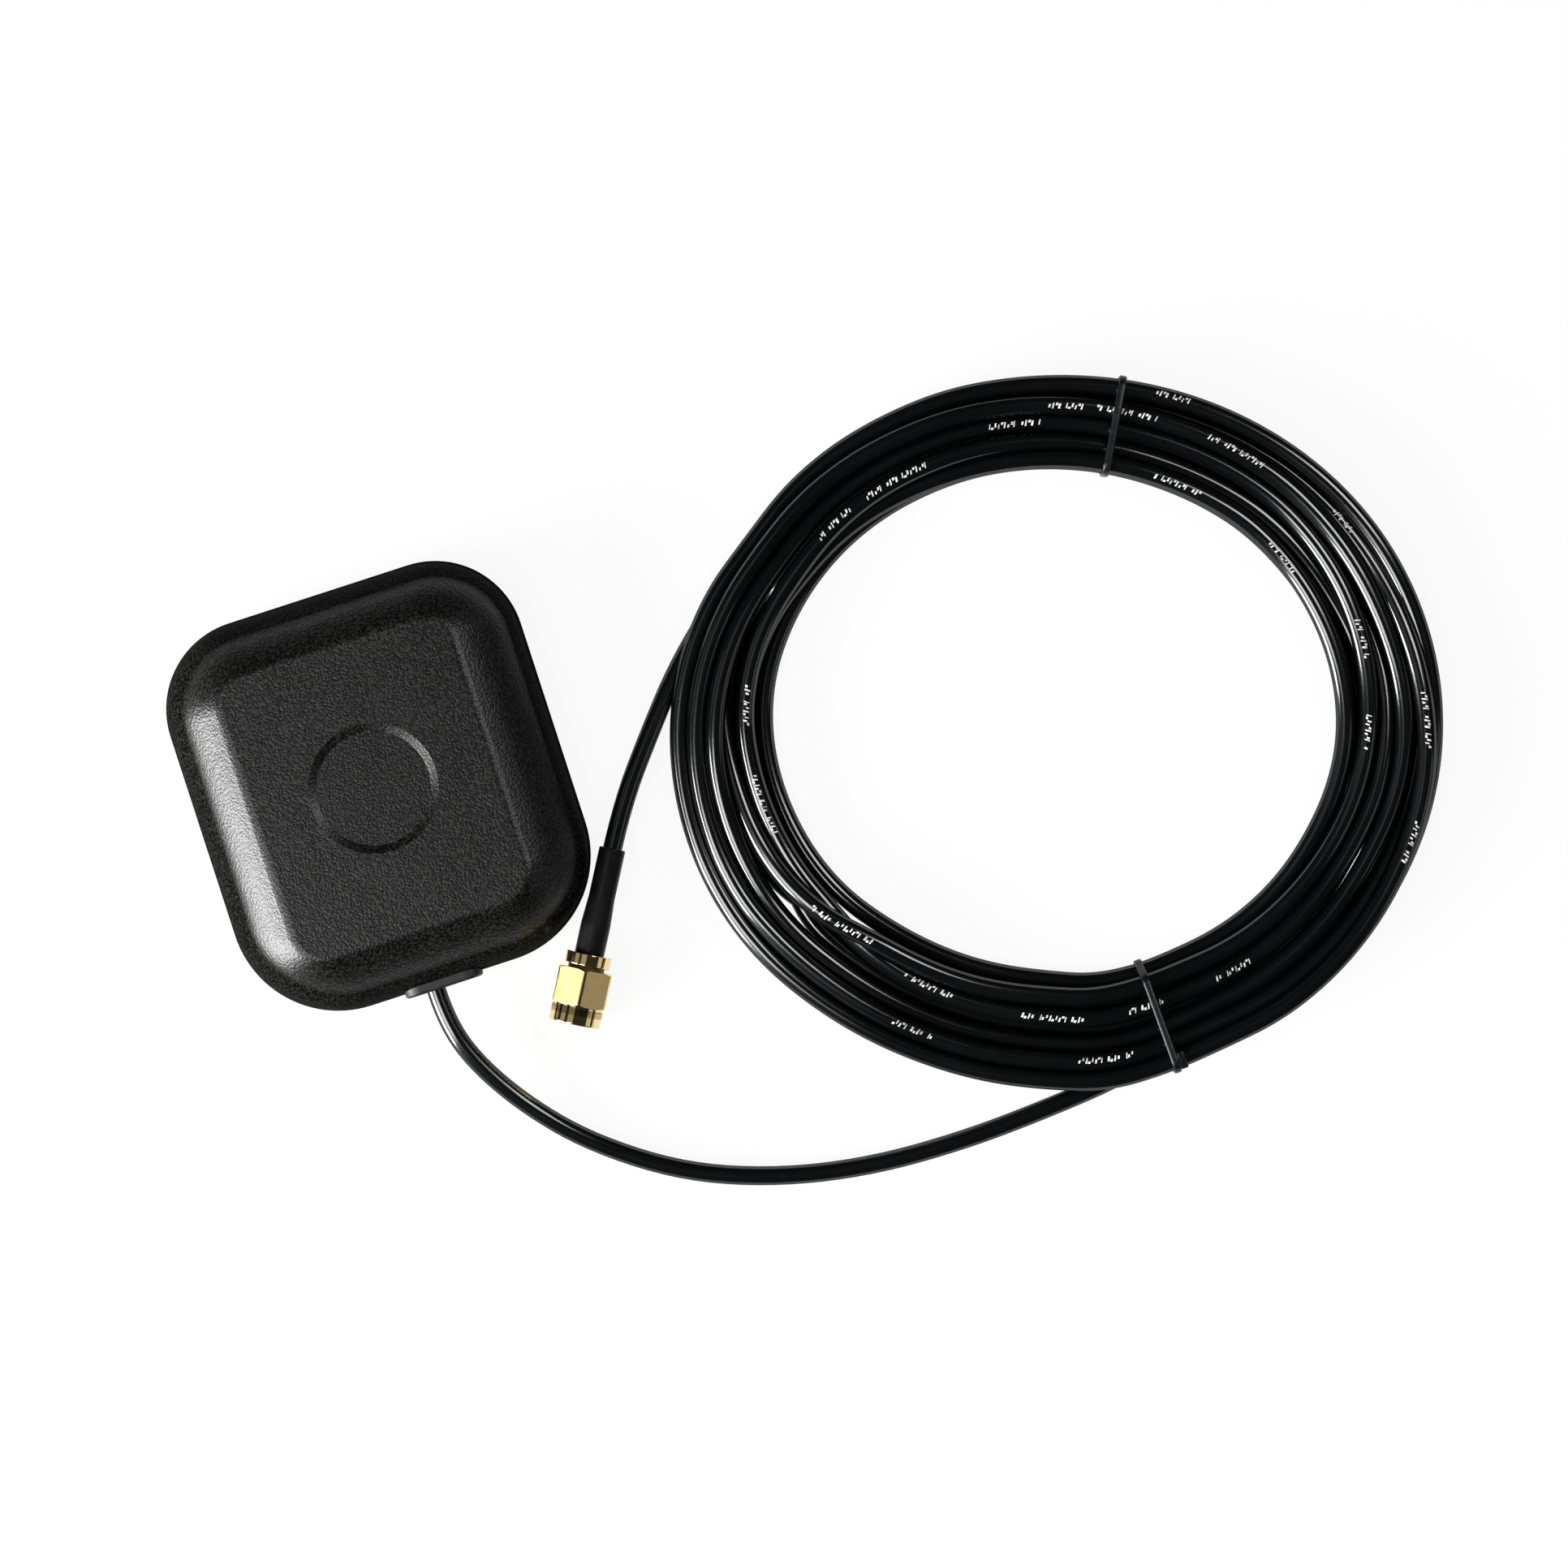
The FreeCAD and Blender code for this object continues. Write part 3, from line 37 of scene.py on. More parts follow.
# Every object is in metres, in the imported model's own frame. Sizes given as plain numbers are in millimetres,
# and MM turns them into metres.
MM = 0.001
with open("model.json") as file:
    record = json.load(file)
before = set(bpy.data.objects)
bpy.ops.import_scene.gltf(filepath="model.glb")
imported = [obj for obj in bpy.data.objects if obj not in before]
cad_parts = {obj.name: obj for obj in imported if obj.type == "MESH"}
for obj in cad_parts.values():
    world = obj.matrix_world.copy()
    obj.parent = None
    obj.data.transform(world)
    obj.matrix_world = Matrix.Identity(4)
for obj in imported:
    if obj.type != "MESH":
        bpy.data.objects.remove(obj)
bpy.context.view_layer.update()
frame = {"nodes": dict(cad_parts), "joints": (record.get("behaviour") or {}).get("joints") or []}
FIXED_BODY = "antenna"
NUT_BODY = "nut"


# Places on the plug, measured along its axis from the nut's front face

NUT_JOINT = frame["joints"][0]
NUT_JOINT_DEPTH = 5.0 * MM
PLUG_OUTWARD = Vector(NUT_JOINT["axis"]).normalized()
PLUG_FRONT = Vector(NUT_JOINT["pos_m"]) + PLUG_OUTWARD * NUT_JOINT_DEPTH
PLUG_UP = Vector((0, 0, 1))
PLUG_SIDE = PLUG_UP.cross(PLUG_OUTWARD)


def on_plug(depth, radius, angle):
    """A point at a depth behind the nut's front, a radius and an angle from the upward direction."""
    sideways = PLUG_SIDE * (radius * math.sin(angle))
    upwards = PLUG_UP * (radius * math.cos(angle))
    return PLUG_FRONT - PLUG_OUTWARD * depth + sideways + upwards


# The cable's route. Its points are the part's own, in millimetres.

CABLE_RADIUS = 1.425
LEAD_ROUTE = [
    (-1.4, -30.85, 5.0), (-1.4, -35.75, 5.0), (0.7, -42.8, 4.2), (5.7, -51.2, 2.6),
    (13.0, -59.5, 1.6), (24.6, -67.9, 1.45), (37.5, -73.0, 1.45), (51.4, -75.8, 1.45),
    (66.3, -76.4, 1.45), (80.4, -75.6, 1.45), (91.3, -74.5, 1.45),
]
TAIL_ROUTE = [
    (65.6, 19.1, 1.6), (56.4, 11.7, 2.1), (47.4, 3.9, 3.0),
    (40.1, -4.6, 4.0), (33.15, -13.25, 4.599), (29.25, -19.9, 4.599),
]

# The coil's outer and inner ovals: middle, half lengths and the direction of the long axis
COIL_MIDDLE = (97.5, -23.0)
COIL_OUTSIDE = (97.5, -23.0, 57.35, 52.65, -11.9)
COIL_INSIDE = (98.0, -21.1, 41.48, 36.97, -22.5)

# Where the wound bundle's edges leave the ovals: middle angle, half width of the bulge and its height
OUTSIDE_BULGES = ((90, 16, 0.3), (130, 16, -1.2), (222, 34, -0.9), (261, 9, 0.9), (280, 9, -0.6))
INSIDE_BULGES = ((30, 18, 0.4), (155, 22, 0.4), (210, 18, -0.6), (265, 20, 0.7), (320, 18, -0.5))

# A smooth spline runs inside the corners of its points by this share of the coil's radius
SPLINE_CUT = 1.0038

LOWER_TIE_ANGLE = -88.4
UPPER_TIE_ANGLE = 61.5
TIE_THICKNESS = 0.8
TIE_SIDE_THICKNESS = 0.45
TIE_WIDTH = 1.15
TIE_ROUNDING = 0.42
TIE_STEPS = 180
COIL_TOP_AT_TIE = 6.7
PILE_TOP = 8.6

# A turn's points lie at even steps of its angle. At the ties these are the lanes that the cable takes, turn by
# turn, from 0 beside the hole to 4 at the outside.
STATIONS_PER_TURN = 36
FIRST_STATION_ANGLE = -90.0
UPPER_TIE_STATION = 15
LANES = 5
LANES_AT_LOWER_TIE = (3, 1, 0, 2, 1.5, 4, 4, 0.5, 2.5, 3.5, 4)
LANES_AT_UPPER_TIE = (2.5, 0, 0, 0.5, 1.5, 4, 3.5, 2, 3, 4)
LAST_STATION = 345

# How the strands settle: how far apart two of them rest, what draws a strand to its lane, more so at the
# bundle's edges, how fast it straightens and falls, and how neighbours push and close up
STRAND_SPACING = 2.05 * CABLE_RADIUS
WIDEST_SPACING = 0.84 * STRAND_SPACING
SETTLING_ROUNDS = 750
RESTING_ROUNDS = 150
LANE_PULL = 0.04
EDGE_PULL = 0.16
EDGE_PULL_POWER = 6
RESTING_PULL = 0.6
STRAIGHTENING = 0.2
FALL = 0.05
RESTING_FALL = 0.01
PUSH = 0.35
CLOSING = 0.4
LAYER_RISE = 0.6
FLOOR_PLAY = 0.02
NEAREST = 0.05

# A place far outside the coil, where a fixed strand counts as no neighbour
FAR_OUT = 1000.0


def oval_reach(degrees, oval):
    """Distances from the coil's middle to an oval, along rays at the given angles."""
    x, y, along, across, turn = oval
    angles = np.radians(np.asarray(degrees, float) - turn)
    offset_x = COIL_MIDDLE[0] - x
    offset_y = COIL_MIDDLE[1] - y
    back = math.radians(-turn)
    start_x = offset_x * math.cos(back) - offset_y * math.sin(back)
    start_y = offset_x * math.sin(back) + offset_y * math.cos(back)
    a = (np.cos(angles) / along) ** 2 + (np.sin(angles) / across) ** 2
    b = 2 * (np.cos(angles) * start_x / along ** 2 + np.sin(angles) * start_y / across ** 2)
    c = (start_x / along) ** 2 + (start_y / across) ** 2 - 1
    return (-b + np.sqrt(b * b - 4 * a * c)) / (2 * a)


def bulged(degrees, bulges):
    """How far an edge of the bundle leaves its oval at the given angles."""
    total = np.zeros(len(degrees))
    for middle, half_width, height in bulges:
        away = np.abs((degrees - middle + 180) % 360 - 180) / half_width
        total += height * (1 + np.cos(np.pi * np.minimum(away, 1))) / 2
    return total


def eased(share):
    """A share from 0 to 1 that starts and ends gently."""
    return (1 - math.cos(math.pi * share)) / 2


def lane_at(turn, station):
    """The lane that a turn aims for, as it drifts from tie to tie."""
    here = LANES_AT_LOWER_TIE[turn]
    there = LANES_AT_UPPER_TIE[turn]
    if station <= UPPER_TIE_STATION:
        return here + (there - here) * eased(station / UPPER_TIE_STATION)
    after = LANES_AT_LOWER_TIE[turn + 1]
    share = (station - UPPER_TIE_STATION) / (STATIONS_PER_TURN - UPPER_TIE_STATION)
    return there + (after - there) * eased(share)


# Height given to a route where it doesn't pass an angle, so that nothing rests on it there
NOWHERE = -50.0


def route_place(route, angle):
    """The distance from the coil's middle and the height of a route where it passes an angle."""
    x, y, heights = (np.array(route) - (*COIL_MIDDLE, 0)).T
    angles = np.degrees(np.arctan2(y, x)) % 360
    order = np.argsort(angles)
    reach = np.interp(angle % 360, angles[order], np.hypot(x, y)[order])
    height = np.interp(angle % 360, angles[order], heights[order], NOWHERE, NOWHERE)
    return reach, height


def closing_steps(reaches, free):
    """Small steps that draw strands together where two neighbours leave a gap between them."""
    places = np.where(free, reaches, FAR_OUT)
    order = np.argsort(places, axis=0)
    gaps = np.diff(np.take_along_axis(places, order, axis=0), axis=0)
    excess = np.where(gaps < FAR_OUT / 2, np.clip(gaps - WIDEST_SPACING, 0, None), 0)
    ranked = np.zeros_like(places)
    ranked[:-1] += CLOSING * excess
    ranked[1:] -= CLOSING * excess
    steps = np.zeros_like(places)
    np.put_along_axis(steps, order, ranked, axis=0)
    return steps


def neighbour_pushes(reaches, heights):
    """Steps along the reach and upwards that part strands nearer to each other than their spacing."""
    apart_reach = reaches[:, None, :] - reaches[None, :, :]
    apart_height = heights[:, None, :] - heights[None, :, :]
    distance = np.sqrt(apart_reach ** 2 + apart_height ** 2)
    for row in range(len(reaches)):
        distance[row, row, :] = STRAND_SPACING
    push = np.clip(STRAND_SPACING - distance, 0, None) / np.maximum(distance, NEAREST)
    return PUSH * (push * apart_reach).sum(axis=1), PUSH * (push * apart_height).sum(axis=1)


def straightened(rows):
    """Steps that draw each point towards the middle between the one before and the one after it."""
    line = rows.ravel()
    steps = np.zeros_like(line)
    steps[1:-1] = (line[:-2] + line[2:]) / 2 - line[1:-1]
    return STRAIGHTENING * steps.reshape(rows.shape)


def start_of_coil(degrees, inner, outer):
    """The strands before they settle: their aims, heights, which of them are free and what pulls them.

    Row 0 is the lead, the rows after it are the turns. The last turn ends as the tail.
    """
    turns = len(LANES_AT_UPPER_TIE)
    aims = np.zeros((turns + 1, STATIONS_PER_TURN))
    heights = np.zeros((turns + 1, STATIONS_PER_TURN))
    free = np.ones((turns + 1, STATIONS_PER_TURN), bool)
    pulls = np.zeros((turns + 1, STATIONS_PER_TURN))
    for turn in range(turns):
        for station in range(STATIONS_PER_TURN):
            lane = lane_at(turn, station) / (LANES - 1)
            aims[turn + 1, station] = inner[station] + (outer[station] - inner[station]) * lane
            pulls[turn + 1, station] = LANE_PULL + EDGE_PULL * abs(2 * lane - 1) ** EDGE_PULL_POWER
            layer = turn + station / STATIONS_PER_TURN if turn < turns - 1 else 0.0
            heights[turn + 1, station] = CABLE_RADIUS + LAYER_RISE * layer
    for station in range(STATIONS_PER_TURN):
        reach, height = route_place(LEAD_ROUTE, degrees[station])
        aims[0, station] = reach
        heights[0, station] = height
        free[0, station] = False
        if station > LAST_STATION % STATIONS_PER_TURN:
            reach, height = route_place(TAIL_ROUTE, degrees[station])
            aims[turns, station] = reach
            heights[turns, station] = height
            free[turns, station] = False
    return aims, heights, free, pulls


def wind_coil():
    """The coil's points: turns drift between their lanes, rest on each other and lie inside the two ovals."""
    degrees = FIRST_STATION_ANGLE + 360 / STATIONS_PER_TURN * np.arange(STATIONS_PER_TURN)
    outer = oval_reach(degrees, COIL_OUTSIDE) + bulged(degrees, OUTSIDE_BULGES) - CABLE_RADIUS
    inner = oval_reach(degrees, COIL_INSIDE) + bulged(degrees, INSIDE_BULGES) + CABLE_RADIUS
    middle = (inner + outer) / 2
    floor = np.full(STATIONS_PER_TURN, CABLE_RADIUS + FLOOR_PLAY)
    ceiling = np.full(STATIONS_PER_TURN, PILE_TOP - CABLE_RADIUS)
    for station in (0, UPPER_TIE_STATION):
        floor[station] = CABLE_RADIUS + TIE_THICKNESS + FLOOR_PLAY
        ceiling[station] = COIL_TOP_AT_TIE - CABLE_RADIUS

    aims, heights, free, pulls = start_of_coil(degrees, inner, outer)
    reaches = aims.copy()
    for count in range(SETTLING_ROUNDS + RESTING_ROUNDS):
        settling = count < SETTLING_ROUNDS
        push_reach, push_height = neighbour_pushes(reaches, heights)
        step_reach = straightened(reaches - middle)
        step_height = straightened(heights)
        step_reach += pulls * (1.0 if settling else RESTING_PULL) * (aims - reaches)
        step_height -= FALL if settling else RESTING_FALL
        step_reach += push_reach
        step_reach += closing_steps(reaches, free)
        step_height += push_height
        reaches = np.where(free, np.clip(reaches + step_reach, inner, outer), reaches)
        heights = np.where(free, np.clip(heights + step_height, floor, ceiling), heights)

    points = []
    for number in range(LAST_STATION + 1):
        turn, station = divmod(number, STATIONS_PER_TURN)
        angle = math.radians(degrees[station])
        reach = reaches[turn + 1, station] * SPLINE_CUT
        x = COIL_MIDDLE[0] + reach * math.cos(angle)
        y = COIL_MIDDLE[1] + reach * math.sin(angle)
        points.append((x, y, heights[turn + 1, station]))
    return points


def spline_curve(name, points):
    """A curve object of one open smooth spline through a route given in millimetres."""
    curve = bpy.data.curves.new(name, "CURVE")
    curve.dimensions = "3D"
    spline = curve.splines.new("NURBS")
    spline.points.add(len(points) - 1)
    for point, (x, y, z) in zip(spline.points, points):
        point.co = (x * MM, y * MM, z * MM, 1)
        point.radius = CABLE_RADIUS * MM
    spline.order_u = 3
    spline.use_endpoint_u = True
    spline.resolution_u = 6
    piece = bpy.data.objects.new(name, curve)
    bpy.context.scene.collection.objects.link(piece)
    return piece


def read_line(piece):
    """The points of a curve's own line, read while it has no bevel."""
    bpy.context.view_layer.update()
    graph = bpy.context.evaluated_depsgraph_get()
    mesh = bpy.data.meshes.new_from_object(piece.evaluated_get(graph), depsgraph=graph)
    line = np.array([vertex.co for vertex in mesh.vertices], float)
    bpy.data.meshes.remove(mesh)
    return line


# Faces that meet at more than this many degrees keep a crisp edge
CRISP_ANGLE = 32


def new_piece(name, mesh, body, materials):
    """Files a mesh as a piece of the object: its body, its finish and its smooth shading."""
    piece = bpy.data.objects.new(name, mesh)
    bpy.context.scene.collection.objects.link(piece)
    for material in materials:
        mesh.materials.append(material)
    mesh.shade_smooth()
    mesh.set_sharp_from_angle(angle=math.radians(CRISP_ANGLE))
    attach(piece, body)
    return piece


def ring_mesh(name, rings):
    """A closed mesh from rings of points: each ring closes round, and the last joins the first."""
    count = len(rings[0])
    vertices = [tuple(point) for ring in rings for point in ring]
    faces = []
    for ring in range(len(rings)):
        following = (ring + 1) % len(rings)
        for point in range(count):
            beside = (point + 1) % count
            faces.append((
                ring * count + point,
                ring * count + beside,
                following * count + beside,
                following * count + point,
            ))
    mesh = bpy.data.meshes.new(name)
    mesh.from_pydata(vertices, [], faces)
    build = bmesh.new()
    build.from_mesh(mesh)
    bmesh.ops.recalc_face_normals(build, faces=build.faces)
    build.to_mesh(mesh)
    build.free()
    return mesh


# The most of a run that a rounding takes, and the share of it from a rounding to the point that keeps the run
# straight
CORNER_SHARE = 0.45
GUARD_SHARE = 0.04


def softened(corners, radius, steps):
    """A closed outline with each corner rounded by up to a radius and straight runs that stay straight."""
    points = []
    count = len(corners)
    for number, corner in enumerate(corners):
        here = Vector(corner)
        before = Vector(corners[number - 1])
        after = Vector(corners[(number + 1) % count])
        reach = min(radius, CORNER_SHARE * (before - here).length, CORNER_SHARE * (after - here).length)
        start = here + (before - here).normalized() * reach
        end = here + (after - here).normalized() * reach
        points.append(start + GUARD_SHARE * (before - here))
        for step in range(steps + 1):
            share = step / steps
            first = start.lerp(here, share)
            second = here.lerp(end, share)
            points.append(first.lerp(second, share))
        points.append(end + GUARD_SHARE * (after - here))
    return points


def shaped_ring(radius_at, depth, segments):
    """A ring round the plug's axis at a depth, with a radius for each angle, in millimetres."""
    angles = [2 * math.pi * segment / segments for segment in range(segments)]
    return [on_plug(depth * MM, radius_at(angle) * MM, angle) for angle in angles]


def turned_ring(radius, depth, segments):
    """A round ring."""
    return shaped_ring(lambda angle: radius, depth, segments)


class Wire:
    """A node's socket, with Python's operators as Math nodes."""

    def __init__(self, board, socket):
        self.board = board
        self.socket = socket

    def combined(self, operation, first, second):
        return self.board.add("ShaderNodeMath", {"operation": operation}, {0: first, 1: second})

    def __add__(self, other):
        return self.combined("ADD", self, other)

    def __radd__(self, other):
        return self.combined("ADD", other, self)

    def __sub__(self, other):
        return self.combined("SUBTRACT", self, other)

    def __rsub__(self, other):
        return self.combined("SUBTRACT", other, self)

    def __mul__(self, other):
        return self.combined("MULTIPLY", self, other)

    def __rmul__(self, other):
        return self.combined("MULTIPLY", other, self)


class Board:
    """The nodes of one new material, or of a world."""

    def __init__(self, name, owners="materials"):
        self.owner = getattr(bpy.data, owners).new(name)
        self.owner.use_nodes = True
        self.tree = self.owner.node_tree
        self.tree.nodes.clear()

    def add(self, kind, settings=None, inputs=None, output=0):
        """Adds a node: its settings come first, then its inputs as values or wires."""
        node = self.tree.nodes.new(kind)
        for name, value in (settings or {}).items():
            if name == "stops":
                self.set_stops(node, value)
            else:
                setattr(node, name, value)
        for key, value in (inputs or {}).items():
            if isinstance(value, Wire):
                self.tree.links.new(value.socket, node.inputs[key])
            else:
                node.inputs[key].default_value = value
        return Wire(self, node.outputs[output]) if node.outputs else None

    def set_stops(self, node, stops):
        elements = node.color_ramp.elements
        while len(elements) < len(stops):
            elements.new(0.5)
        for element, (position, colour) in zip(elements, stops):
            element.position = position
            element.color = colour

    def place(self):
        """A point's own place in its piece."""
        return self.add("ShaderNodeTexCoord", output="Object")

    def noise(self, size, detail=2.0, rough=0.5):
        """Noise whose features measure about size millimetres."""
        inputs = {"Vector": self.place(), "Scale": 1 / (size * MM), "Detail": detail, "Roughness": rough}
        return self.add("ShaderNodeTexNoise", {}, inputs, "Fac")

    def cells(self, size):
        """Rounded cells that measure about size millimetres."""
        inputs = {"Vector": self.place(), "Scale": 1 / (size * MM), "Smoothness": 0.6}
        return self.add("ShaderNodeTexVoronoi", {"feature": "SMOOTH_F1"}, inputs, "Distance")

    def ranged(self, wire, low, high, new_low, new_high):
        inputs = {"Value": wire, "From Min": low, "From Max": high, "To Min": new_low, "To Max": new_high}
        return self.add("ShaderNodeMapRange", {}, inputs)

    def colours(self, wire, first, second):
        """One colour where the wire is 0, the other where it is 1."""
        return self.add("ShaderNodeMix", {"data_type": "RGBA"}, {0: wire, 6: (*first, 1), 7: (*second, 1)}, 2)

    def bump(self, height, depth):
        """A normal from a height between 0 and 1 that stands for a depth in millimetres."""
        inputs = {"Strength": 1.0, "Distance": depth * MM, "Height": height}
        return self.add("ShaderNodeBump", {}, inputs, "Normal")

    def finish(self, dull_rim=None, **sockets):
        """Ends the material in a Principled surface: values stay on its sockets, wires vary.

        A dull rim turns the surface matte where it is seen at a slant: from one slant to another, by a share.
        """
        inputs = {name.replace("_", " ").title().replace("Ior", "IOR"): value
                  for name, value in sockets.items()}
        surface = self.add("ShaderNodeBsdfPrincipled", {}, inputs)
        if dull_rim:
            slant = self.add("ShaderNodeLayerWeight", {}, {"Blend": 0.5}, "Facing")
            matte = self.add("ShaderNodeBsdfDiffuse", {}, {"Color": sockets["base_color"]})
            share = self.ranged(slant, dull_rim[0], dull_rim[1], 0.0, dull_rim[2])
            surface = self.add("ShaderNodeMixShader", {}, {0: share, 1: surface, 2: matte})
        self.add("ShaderNodeOutputMaterial", {}, {"Surface": surface})
        return self.owner


def leather_grain(board, size):
    """The eroded grain of the moulded case: a fine stipple of uneven pebbles, between 0 and 1."""
    pebbles = board.cells(size)
    coarse = board.noise(1.1 * size, 2.0, 0.6)
    fine = board.noise(0.5 * size, 2.0, 0.6)
    return board.ranged(pebbles * 0.9 + coarse * 0.6 + fine * 0.5, 0.60, 1.25, 0.0, 1.0)


def housing_plastic():
    """Black moulded plastic with a fine leather grain, its peaks painted lighter: grain tone and painted
    glints.
    """
    board = Board("housing_plastic")
    grain = leather_grain(board, 0.34)
    cloud = board.noise(9, 3.0)
    # The lighter colour on the grain's peaks is partly the grain's own tone and partly painted glints
    grain_and_painted_glint = board.ranged(grain * 0.9 + cloud * 0.2, 0.50, 0.95, 0.0, 1.0)
    colour = board.colours(grain_and_painted_glint, (0.0004, 0.0005, 0.0004), (0.0150, 0.0154, 0.0142))
    rough = board.ranged(grain * 0.4 + cloud * 0.6, 0.2, 0.8, 0.25, 0.33)
    return board.finish(
        base_color=colour, roughness=rough, normal=board.bump(grain, 0.030), specular_ior_level=0.34,
        dull_rim=(0.33, 0.43, 0.95),
    )


def base_plastic():
    """The base's plastic: the same grain, finer and duller than the housing's."""
    board = Board("base_plastic")
    grain = leather_grain(board, 0.40)
    cloud = board.noise(12, 3.0)
    colour = board.colours(grain * 0.7 + cloud * 0.3, (0.0007, 0.0007, 0.0009), (0.0091, 0.0091, 0.0095))
    rough = board.ranged(cloud, 0.3, 0.7, 0.46, 0.58)
    return board.finish(
        base_color=colour, roughness=rough, normal=board.bump(grain, 0.030), specular_ior_level=0.16,
    )


def cable_jacket():
    """Smooth black cable jacket with faint drawn waves and rubbed patches."""
    board = Board("cable_jacket")
    patches = board.noise(14, 3.0)
    waves = board.noise(1.1, 2.0)
    fine = board.noise(0.12, 2.0)
    colour = board.colours(patches, (0.0009, 0.0011, 0.0013), (0.0025, 0.0029, 0.0033))
    rough = board.ranged(patches * 0.8 + fine * 0.2, 0.3, 0.7, 0.11, 0.18)
    height = waves * 0.8 + fine * 0.03
    return board.finish(
        base_color=colour, roughness=rough, normal=board.bump(height, 0.002), specular_ior_level=0.75,
        dull_rim=(0.34, 0.62, 0.70),
    )


# Metals: their darkest and brightest colours, least and most roughness, grain and its depth in millimetres
METALS = {
    "polished_gold": ((0.84, 0.63, 0.29), (0.94, 0.76, 0.41), 0.04, 0.09, 0.30, 0.0002),
    "satin_gold": ((0.80, 0.57, 0.23), (0.95, 0.73, 0.36), 0.32, 0.42, 0.14, 0.008),
    # A dark gold: painted shade for the recess between the nut and the collar
    "painted_shade_gold": ((0.12, 0.08, 0.033), (0.21, 0.145, 0.063), 0.45, 0.60, 0.20, 0.004),
    "bare_copper": ((0.62, 0.33, 0.19), (0.76, 0.44, 0.27), 0.22, 0.36, 0.10, 0.004),
    "zinc_steel": ((0.48, 0.49, 0.50), (0.60, 0.61, 0.62), 0.28, 0.42, 0.20, 0.004),
    "tinned_sheet": ((0.58, 0.58, 0.56), (0.70, 0.70, 0.68), 0.24, 0.38, 0.60, 0.004),
    "nickel_plate": ((0.56, 0.56, 0.57), (0.66, 0.66, 0.67), 0.14, 0.24, 0.50, 0.003),
    "plated_crimp": ((0.66, 0.50, 0.25), (0.78, 0.62, 0.34), 0.22, 0.36, 0.25, 0.004),
    "fired_silver": ((0.70, 0.69, 0.66), (0.80, 0.79, 0.76), 0.34, 0.50, 0.15, 0.005),
}


def metal(name):
    """A metal with a fine grain."""
    dark, bright, rough_low, rough_high, grain_size, depth = METALS[name]
    board = Board(name)
    cloud = board.noise(1.3, 3.0)
    grain = board.noise(grain_size, 2.0, 0.6)
    return board.finish(
        base_color=board.colours(cloud, dark, bright),
        metallic=1.0,
        roughness=board.ranged(cloud * 0.5 + grain * 0.5, 0.3, 0.7, rough_low, rough_high),
        normal=board.bump(grain, depth),
    )


# Plain non-metals: their darkest and brightest colours, least and most roughness, the size and detail of their
# clouds of colour, the size, detail and roughness of their grain, its depth and their specular level
PLAIN_FINISHES = {
    "soft_rubber": (
        (0.0036, 0.0036, 0.0036), (0.0091, 0.0091, 0.0091), (0.42, 0.56), (1.5, 4), (0.15, 2, 0.5), 0.006, 0.45,
    ),
    "tie_plastic": (
        (0.0022, 0.0025, 0.0033), (0.0058, 0.0065, 0.0080), (0.28, 0.40), (1.2, 3), (0.1, 2, 0.5), 0.004, 0.36,
    ),
    "sleeve_plastic": (
        (0.0029, 0.0029, 0.0029), (0.0076, 0.0076, 0.0076), (0.34, 0.44), (3, 3), (0.35, 3, 0.6), 0.012, 0.13,
    ),
    "white_insulator": ((0.8, 0.8, 0.77), (0.87, 0.87, 0.85), (0.35, 0.5), (1, 3), (0.1, 3, 0.5), 0.003, 0.5),
    "solder_mask": ((0.02, 0.13, 0.05), (0.035, 0.18, 0.08), (0.28, 0.42), (4, 3), (0.3, 3, 0.5), 0.01, 0.5),
    "fired_ceramic": ((0.7, 0.63, 0.5), (0.79, 0.72, 0.6), (0.6, 0.75), (3, 3), (0.2, 3, 0.5), 0.01, 0.5),
    "foam_tape": ((0.76, 0.73, 0.65), (0.84, 0.82, 0.74), (0.7, 0.85), (1, 3), (0.3, 3, 0.5), 0.02, 0.5),
}


def plain(name):
    """A non-metal with soft clouds of colour and a fine grain."""
    dark, bright, roughness, cloud_kind, grain_kind, depth, specular = PLAIN_FINISHES[name]
    board = Board(name)
    cloud = board.noise(*cloud_kind)
    grain = board.noise(*grain_kind)
    return board.finish(
        base_color=board.colours(cloud, dark, bright),
        roughness=board.ranged(cloud, 0.3, 0.7, *roughness),
        normal=board.bump(grain, depth),
        specular_ior_level=specular,
    )


def print_ink():
    """Pale ink, worn thin in places."""
    board = Board("print_ink")
    wear = board.noise(0.45, 4.0, 0.6)
    patches = board.noise(6, 2.0)
    left = board.ranged(wear * 0.7 + patches * 0.5, 0.40, 0.62, 0.0, 1.0)
    return board.finish(
        base_color=board.colours(left, (0.08, 0.08, 0.08), (0.88, 0.88, 0.85)),
        roughness=board.ranged(wear, 0.3, 0.7, 0.40, 0.55), normal=board.bump(wear, 0.003),
    )


OWN_FINISHES = {maker.__name__: maker for maker in (housing_plastic, base_plastic, cable_jacket, print_ink)}
MADE = {}


def finish_of(name):
    """Makes each finish once and gives it out again afterwards."""
    if name not in MADE:
        if name in METALS:
            MADE[name] = metal(name)
        elif name in PLAIN_FINISHES:
            MADE[name] = plain(name)
        else:
            MADE[name] = OWN_FINISHES[name]()
    return MADE[name]


